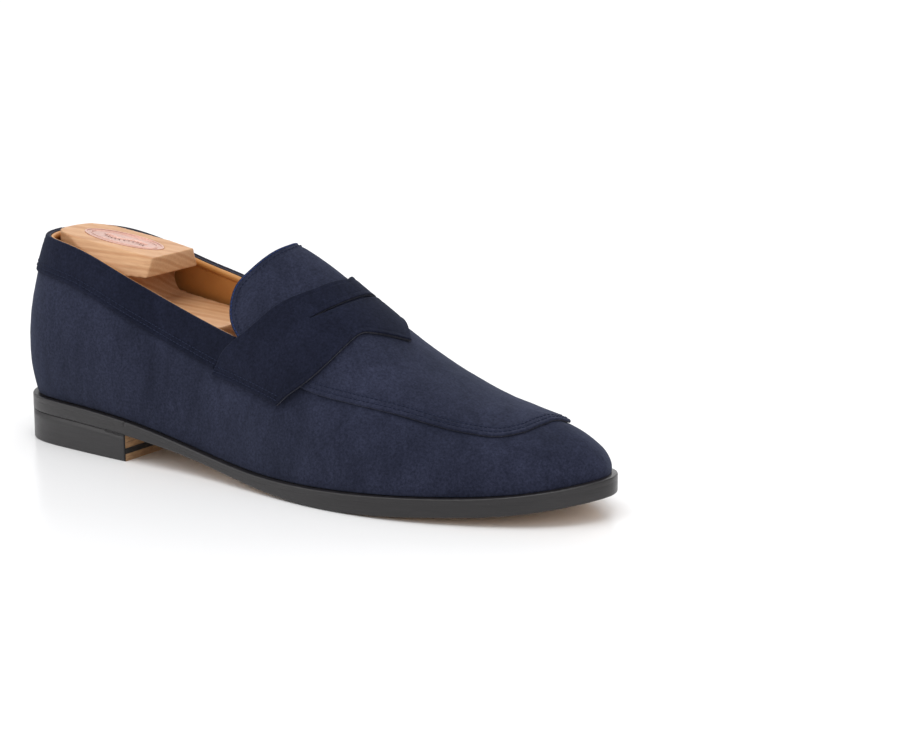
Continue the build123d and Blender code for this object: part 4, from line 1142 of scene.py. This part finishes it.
def joint_nicks():
    """Short row of wheel nicks where the heel meets the sole, next to the breast on both sides."""
    points, faces = [], []
    half, rise = NICK_WIDTH / 2 / SOLE_GIRTH, NICK_HEIGHT / 2
    for side in (-1, 1):
        for k in range(NICK_COUNT):
            u = breast_u(side) + side * (k + 0.8) * NICK_PITCH / SOLE_GIRTH
            z = float(sole_bottom(float(sole_edge(u)[0])))
            first = len(points)
            for du, dz in ((-half, -rise), (half, -rise), (half, rise), (-half, rise)):
                for inset in NICK_INSETS:
                    points.append((*edge_point(np.array(u + du), np.array(inset))[0], z + dz))
            faces += [tuple(first + i for i in face) for face in BOX_FACES]
    piece = mesh_object("joint_nicks", np.array(points), faces, "shoe", (WAX,), smooth=False)
    weld(piece, 1e-7)


def weld(piece, distance=1e-5):
    """Joins points that coincide and turns every face outwards."""
    work = bmesh.new()
    work.from_mesh(piece.data)
    bmesh.ops.remove_doubles(work, verts=work.verts, dist=distance)
    bmesh.ops.recalc_face_normals(work, faces=work.faces)
    work.to_mesh(piece.data)
    work.free()


def paint_heel(node_name, outside, breast, under):
    """Gives a layer of the heel its outside, its breast face and its under face."""
    mesh = NODES[node_name].data
    mesh.materials.clear()
    for material in (outside, breast, under):
        mesh.materials.append(material)
    breast_x = (HEEL_BREAST_X - SHIFT[0]) / 1000
    for face in mesh.polygons:
        if face.normal.x > 0.9 and abs(face.center.x - breast_x) < 0.0005:
            face.material_index = 1
        elif face.normal.z < -0.8:
            face.material_index = 2
        else:
            face.material_index = 0


# ---------------------------------------------------------------- topline
RIB_LENGTH = 118.0           # usual length of a rib at the topline, from foot to spine
LINING_FACE = SUEDE + STIFFENER + 2 * GAP + LINING     # depth of the lining's face in the last
# the fold's cross-section as (depth in the last, drop below the topline) pairs
FOLD_SECTION = [(SUEDE - 0.02, 0.6), (SUEDE + 0.35, 0.12), (SUEDE + STIFFENER + 0.15, 0.0),
                (LINING_FACE - LINING + 0.3, 0.15), (LINING_FACE + 0.15, 0.7), (LINING_FACE + 0.2, 3.0),
                (LINING_FACE - 0.1, 3.0), (SUEDE + 0.2, 1.6)]


def topline_fold():
    """Turned edge that closes the gap between the suede and the lining along the topline."""
    start = strap_corner_u(0.44, 1) + 0.004
    end = 1 + strap_corner_u(0.42, -1) - 0.004
    us = np.linspace(start, end, 420)
    top = topline_rise(us)
    rows = []
    for depth, drop in FOLD_SECTION:
        v = top - drop / RIB_LENGTH
        rows.append(last_point(us, v) - last_normal(us, v) * depth)
    weld(swept_strip("topline_fold", np.array(rows).transpose(1, 0, 2), TAN))


# ---------------------------------------------------------------- shoe tree
SANDING_VOXEL = 0.0006
SANDING_ROUNDS = 3


def softened_copy(node_name, name, body, material):
    """Copy of a wooden part with sanded, slightly rounded edges."""
    copy = bpy.data.objects.new(name, NODES[node_name].data.copy())
    bpy.context.scene.collection.objects.link(copy)
    bpy.context.view_layer.objects.active = copy
    for other in bpy.context.selected_objects:
        other.select_set(False)
    copy.select_set(True)
    remesh = copy.modifiers.new("even", "REMESH")
    remesh.mode = "VOXEL"
    remesh.voxel_size = SANDING_VOXEL
    remesh.use_smooth_shade = True
    smooth = copy.modifiers.new("sanded", "SMOOTH")
    smooth.factor = 0.5
    smooth.iterations = SANDING_ROUNDS
    for modifier in ("even", "sanded"):
        bpy.ops.object.modifier_apply(modifier=modifier)
    copy.data.materials.clear()
    copy.data.materials.append(material)
    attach(copy, body)
    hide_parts(node_name)


def pressed_springs(node_name):
    """Copy of a pair of springs that rides on the shoe in place of the part's own springs."""
    copy = bpy.data.objects.new(node_name + "_coils", NODES[node_name].data.copy())
    bpy.context.scene.collection.objects.link(copy)
    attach(copy, "shoe")
    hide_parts(node_name)
    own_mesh(copy)


PLATE_FACE_LIFT = 0.16      # from the middle of the plate's box to its face
OVAL_HALF = (18.6, 6.7)
LEAF_PITCH = 2.2


def plate_ornament():
    """Fine raised oval line and a plain spray of leaves on the handle's plate."""
    low, high = (np.array(c) * 1000 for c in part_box("tree_plate"))
    centre = (low + high) / 2
    slope = (low[2] - high[2] + 0.75) / (high[0] - low[0])
    points, faces = [], []

    def tube(plan, radius, closed):
        path = np.array([(x, y, slope * x + PLATE_FACE_LIFT) for x, y in plan]) + centre
        first = len(points)
        count, sides = len(path), 6
        tangent = np.roll(path, -1, 0) - np.roll(path, 1, 0) if closed else np.gradient(path, axis=0)
        tangent /= np.linalg.norm(tangent, axis=1, keepdims=True)
        for p, t in zip(path, tangent):
            side = np.array([t[1], -t[0], 0.0])
            for k in range(sides):
                a = 2 * math.pi * k / sides
                points.append(p + radius * (math.cos(a) * side + math.sin(a) * np.array([0, 0, 1.0])))
        for i in range(count if closed else count - 1):
            for k in range(sides):
                a, b = first + i * sides + k, first + i * sides + (k + 1) % sides
                shift = ((i + 1) % count - i) * sides
                faces.append((a, b, b + shift, a + shift))

    def stem_y(x):
        return 1.1 * math.sin(x / 3.2)

    turns = np.linspace(0, 2 * math.pi, 97)[:-1]
    tube([(OVAL_HALF[0] * math.cos(a), OVAL_HALF[1] * math.sin(a)) for a in turns], 0.22, True)
    tube([(x, stem_y(x)) for x in np.linspace(-12, 12, 49)], 0.26, False)
    for k in range(-5, 6):
        x0 = LEAF_PITCH * k
        for way in (-1, 1):
            leaf = [(x0 + 1.5 * s, stem_y(x0) + way * (2.5 * s - 0.7 * s * s)) for s in np.linspace(0, 1, 6)]
            tube(leaf, 0.30, False)
    mesh_object("plate_leaf_ornament", np.array(points) + SHIFT, faces, "tree_heel", (COPPER,))


# ---------------------------------------------------------------- build
PANEL = side_panel()
COLLAR_PIECE = collar_band()
APRON_PIECE, APRON_SEAM, TONGUE_LINE = apron()
STRAP_PIECE, STRAP_TOP = penny_strap()
topline_fold()
welt_pieces()
outsole()
for layer in ("heel_lift_upper", "heel_lift_lower", "top_piece_leather"):
    paint_heel(layer, WAX, LIFTS, TREAD)
for layer in ("heel_rubber_layer", "top_piece_rubber"):
    paint_heel(layer, WAX, RUBBER, RUBBER)
heel_edge_finish()
joint_nicks()
softened_copy("tree_heel_block", "heel_block_sanded", "tree_heel", CEDAR)
plate_ornament()
pressed_springs("tree_springs")
pressed_springs("tree_cross_springs")


def add_stitching():
    """Every visible row of thread, laid on the finished suede."""
    panel_skin = Skin(PANEL)
    apron_skin = Skin(APRON_PIECE)
    collar_skin = Skin(COLLAR_PIECE)
    strap_skin = Skin(STRAP_PIECE)
    out = surface_normals(APRON_SEAM)
    seam = APRON_SEAM + out * (APRON_GAP + SUEDE)
    rows = [inset_path(seam, out, distance) for distance in APRON_ROWS]
    stitch_piece("apron_stitching", apron_skin, rows, THREAD)
    out = surface_normals(TONGUE_LINE)
    edge = TONGUE_LINE + out * (APRON_GAP + SUEDE)
    stitch_piece("tongue_edge_stitching", apron_skin, [inset_path(edge, out, -1.2)], BLUE_THREAD, 1.5, 0.3)
    stitch_piece("tongue_inner_stitching", apron_skin, [inset_path(edge, out, -3.2)], THREAD)
    shares = clustered(COLLAR_WIDTH, NEAR, 0.45)
    grid_u, grid_v = collar_grid(shares)
    rows = []
    for distance in STITCH_ROWS:
        column = int(np.argmin(np.abs(shares * COLLAR_WIDTH - distance)))
        us, vs = grid_u[2:-2, column], grid_v[2:-2, column]
        normal = last_normal(us, vs)
        rows.append((last_point(us, vs) + normal * (GAP + COLLAR), normal))
    stitch_piece("collar_stitching", collar_skin, rows, THREAD)
    rows = []
    for end, way in ((STRAP_TOP[0], 1), (STRAP_TOP[-1], -1)):
        out = surface_normals(end)
        for distance in STITCH_ROWS:
            rows.append(inset_path(end, out, way * distance))
    stitch_piece("strap_end_stitching", strap_skin, rows, THREAD)
    rows = []
    for distance in STITCH_ROWS:
        us = np.full(60, SEAM_U + distance / LAST_GIRTH)
        vs = np.linspace(0.02, float(panel_edge(us[:1])[0]) - 0.13, 60)
        rows.append((last_point(us, vs), last_normal(us, vs)))
    stitch_piece("side_seam_stitching", panel_skin, rows, THREAD)


add_stitching()


# ---------------------------------------------------------------- floor, light and camera
def studio():
    """Pale floor that sweeps up into a backdrop behind the shoe."""
    mesh = bpy.data.meshes.new("floor")
    size, back, rise, radius = 3.0, 1.8, 2.4, 0.9
    profile = [(-size, 0.0)]
    profile += [(back - radius + radius * math.sin(a), radius * (1 - math.cos(a)))
                for a in np.linspace(0, math.pi / 2, 24)]
    profile += [(back, rise)]
    turn = math.radians(VIEW_AZIMUTH)
    across = np.array([math.cos(turn), math.sin(turn), 0])
    away = np.array([-math.sin(turn), math.cos(turn), 0])
    points = []
    for forward, height in profile:
        for side in (-size, size):
            points.append(tuple(across * side + away * forward + np.array([0, 0, height])))
    faces = [(2 * i, 2 * i + 1, 2 * i + 3, 2 * i + 2) for i in range(len(profile) - 1)]
    mesh.from_pydata(points, [], faces)
    mesh.polygons.foreach_set("use_smooth", np.ones(len(mesh.polygons), bool))
    material, _, _, shader = new_material("studio_floor")
    shader.inputs["Base Color"].default_value = (0.93, 0.93, 0.935, 1)
    shader.inputs["Roughness"].default_value = 0.22
    shader.inputs["Specular IOR Level"].default_value = 0.25
    mesh.materials.append(material)
    floor = bpy.data.objects.new("floor", mesh)
    bpy.context.scene.collection.objects.link(floor)


def area_light(name, place, target, size, power, color=(1, 1, 1)):
    data = bpy.data.lights.new(name, "AREA")
    data.shape = "RECTANGLE"
    data.size, data.size_y = size
    data.energy = power
    data.color = color
    light = bpy.data.objects.new(name, data)
    light.location = place
    light.rotation_mode = "QUATERNION"
    light.rotation_quaternion = (Vector(target) - Vector(place)).to_track_quat("-Z", "Y")
    bpy.context.scene.collection.objects.link(light)


VIEW_AZIMUTH = 36.44
VIEW_ELEVATION = 13.27
CAMERA_DISTANCE = 1.13884
CAMERA_LENS = 104.0
FRAME_OFFSET = (0.06126, 0.00466)   # the shoe stands left of the frame's centre


def camera():
    target = Vector(metres(np.array([150.0, 0.0, 40.0])))
    a, e = math.radians(VIEW_AZIMUTH), math.radians(VIEW_ELEVATION)
    toward = Vector((math.sin(a) * math.cos(e), -math.cos(a) * math.cos(e), math.sin(e)))
    place = target + toward * CAMERA_DISTANCE
    across = Vector((math.cos(a), math.sin(a), 0))
    up = toward.cross(across)
    aim = target + across * FRAME_OFFSET[0] + up * FRAME_OFFSET[1]
    data = bpy.data.cameras.new("camera")
    data.lens = CAMERA_LENS
    data.sensor_width = 36.0
    data.clip_start, data.clip_end = 0.05, 20
    view = bpy.data.objects.new("camera", data)
    view.location = place
    view.rotation_mode = "QUATERNION"
    view.rotation_quaternion = (aim - place).to_track_quat("-Z", "Y")
    bpy.context.scene.collection.objects.link(view)
    bpy.context.scene.camera = view


studio()
area_light("key_overhead", (0.1, -0.3, 1.5), (0, 0, 0), (1.6, 1.2), 12)
area_light("left_front", (-1.2, -1.1, 0.9), (0, 0, 0.03), (1.0, 1.0), 5)
area_light("right_front", (1.4, -0.7, 0.8), (0, 0, 0.03), (0.9, 0.9), 3)
area_light("rear_rim", (-0.3, 1.4, 1.0), (0, 0, 0.05), (1.2, 0.6), 5)
world = bpy.data.worlds.new("studio")
bpy.context.scene.world = world
world.use_nodes = True
world.node_tree.nodes["Background"].inputs[0].default_value = (1, 1, 1, 1)
world.node_tree.nodes["Background"].inputs[1].default_value = 0.74
bpy.context.scene.view_settings.view_transform = "Standard"
camera()
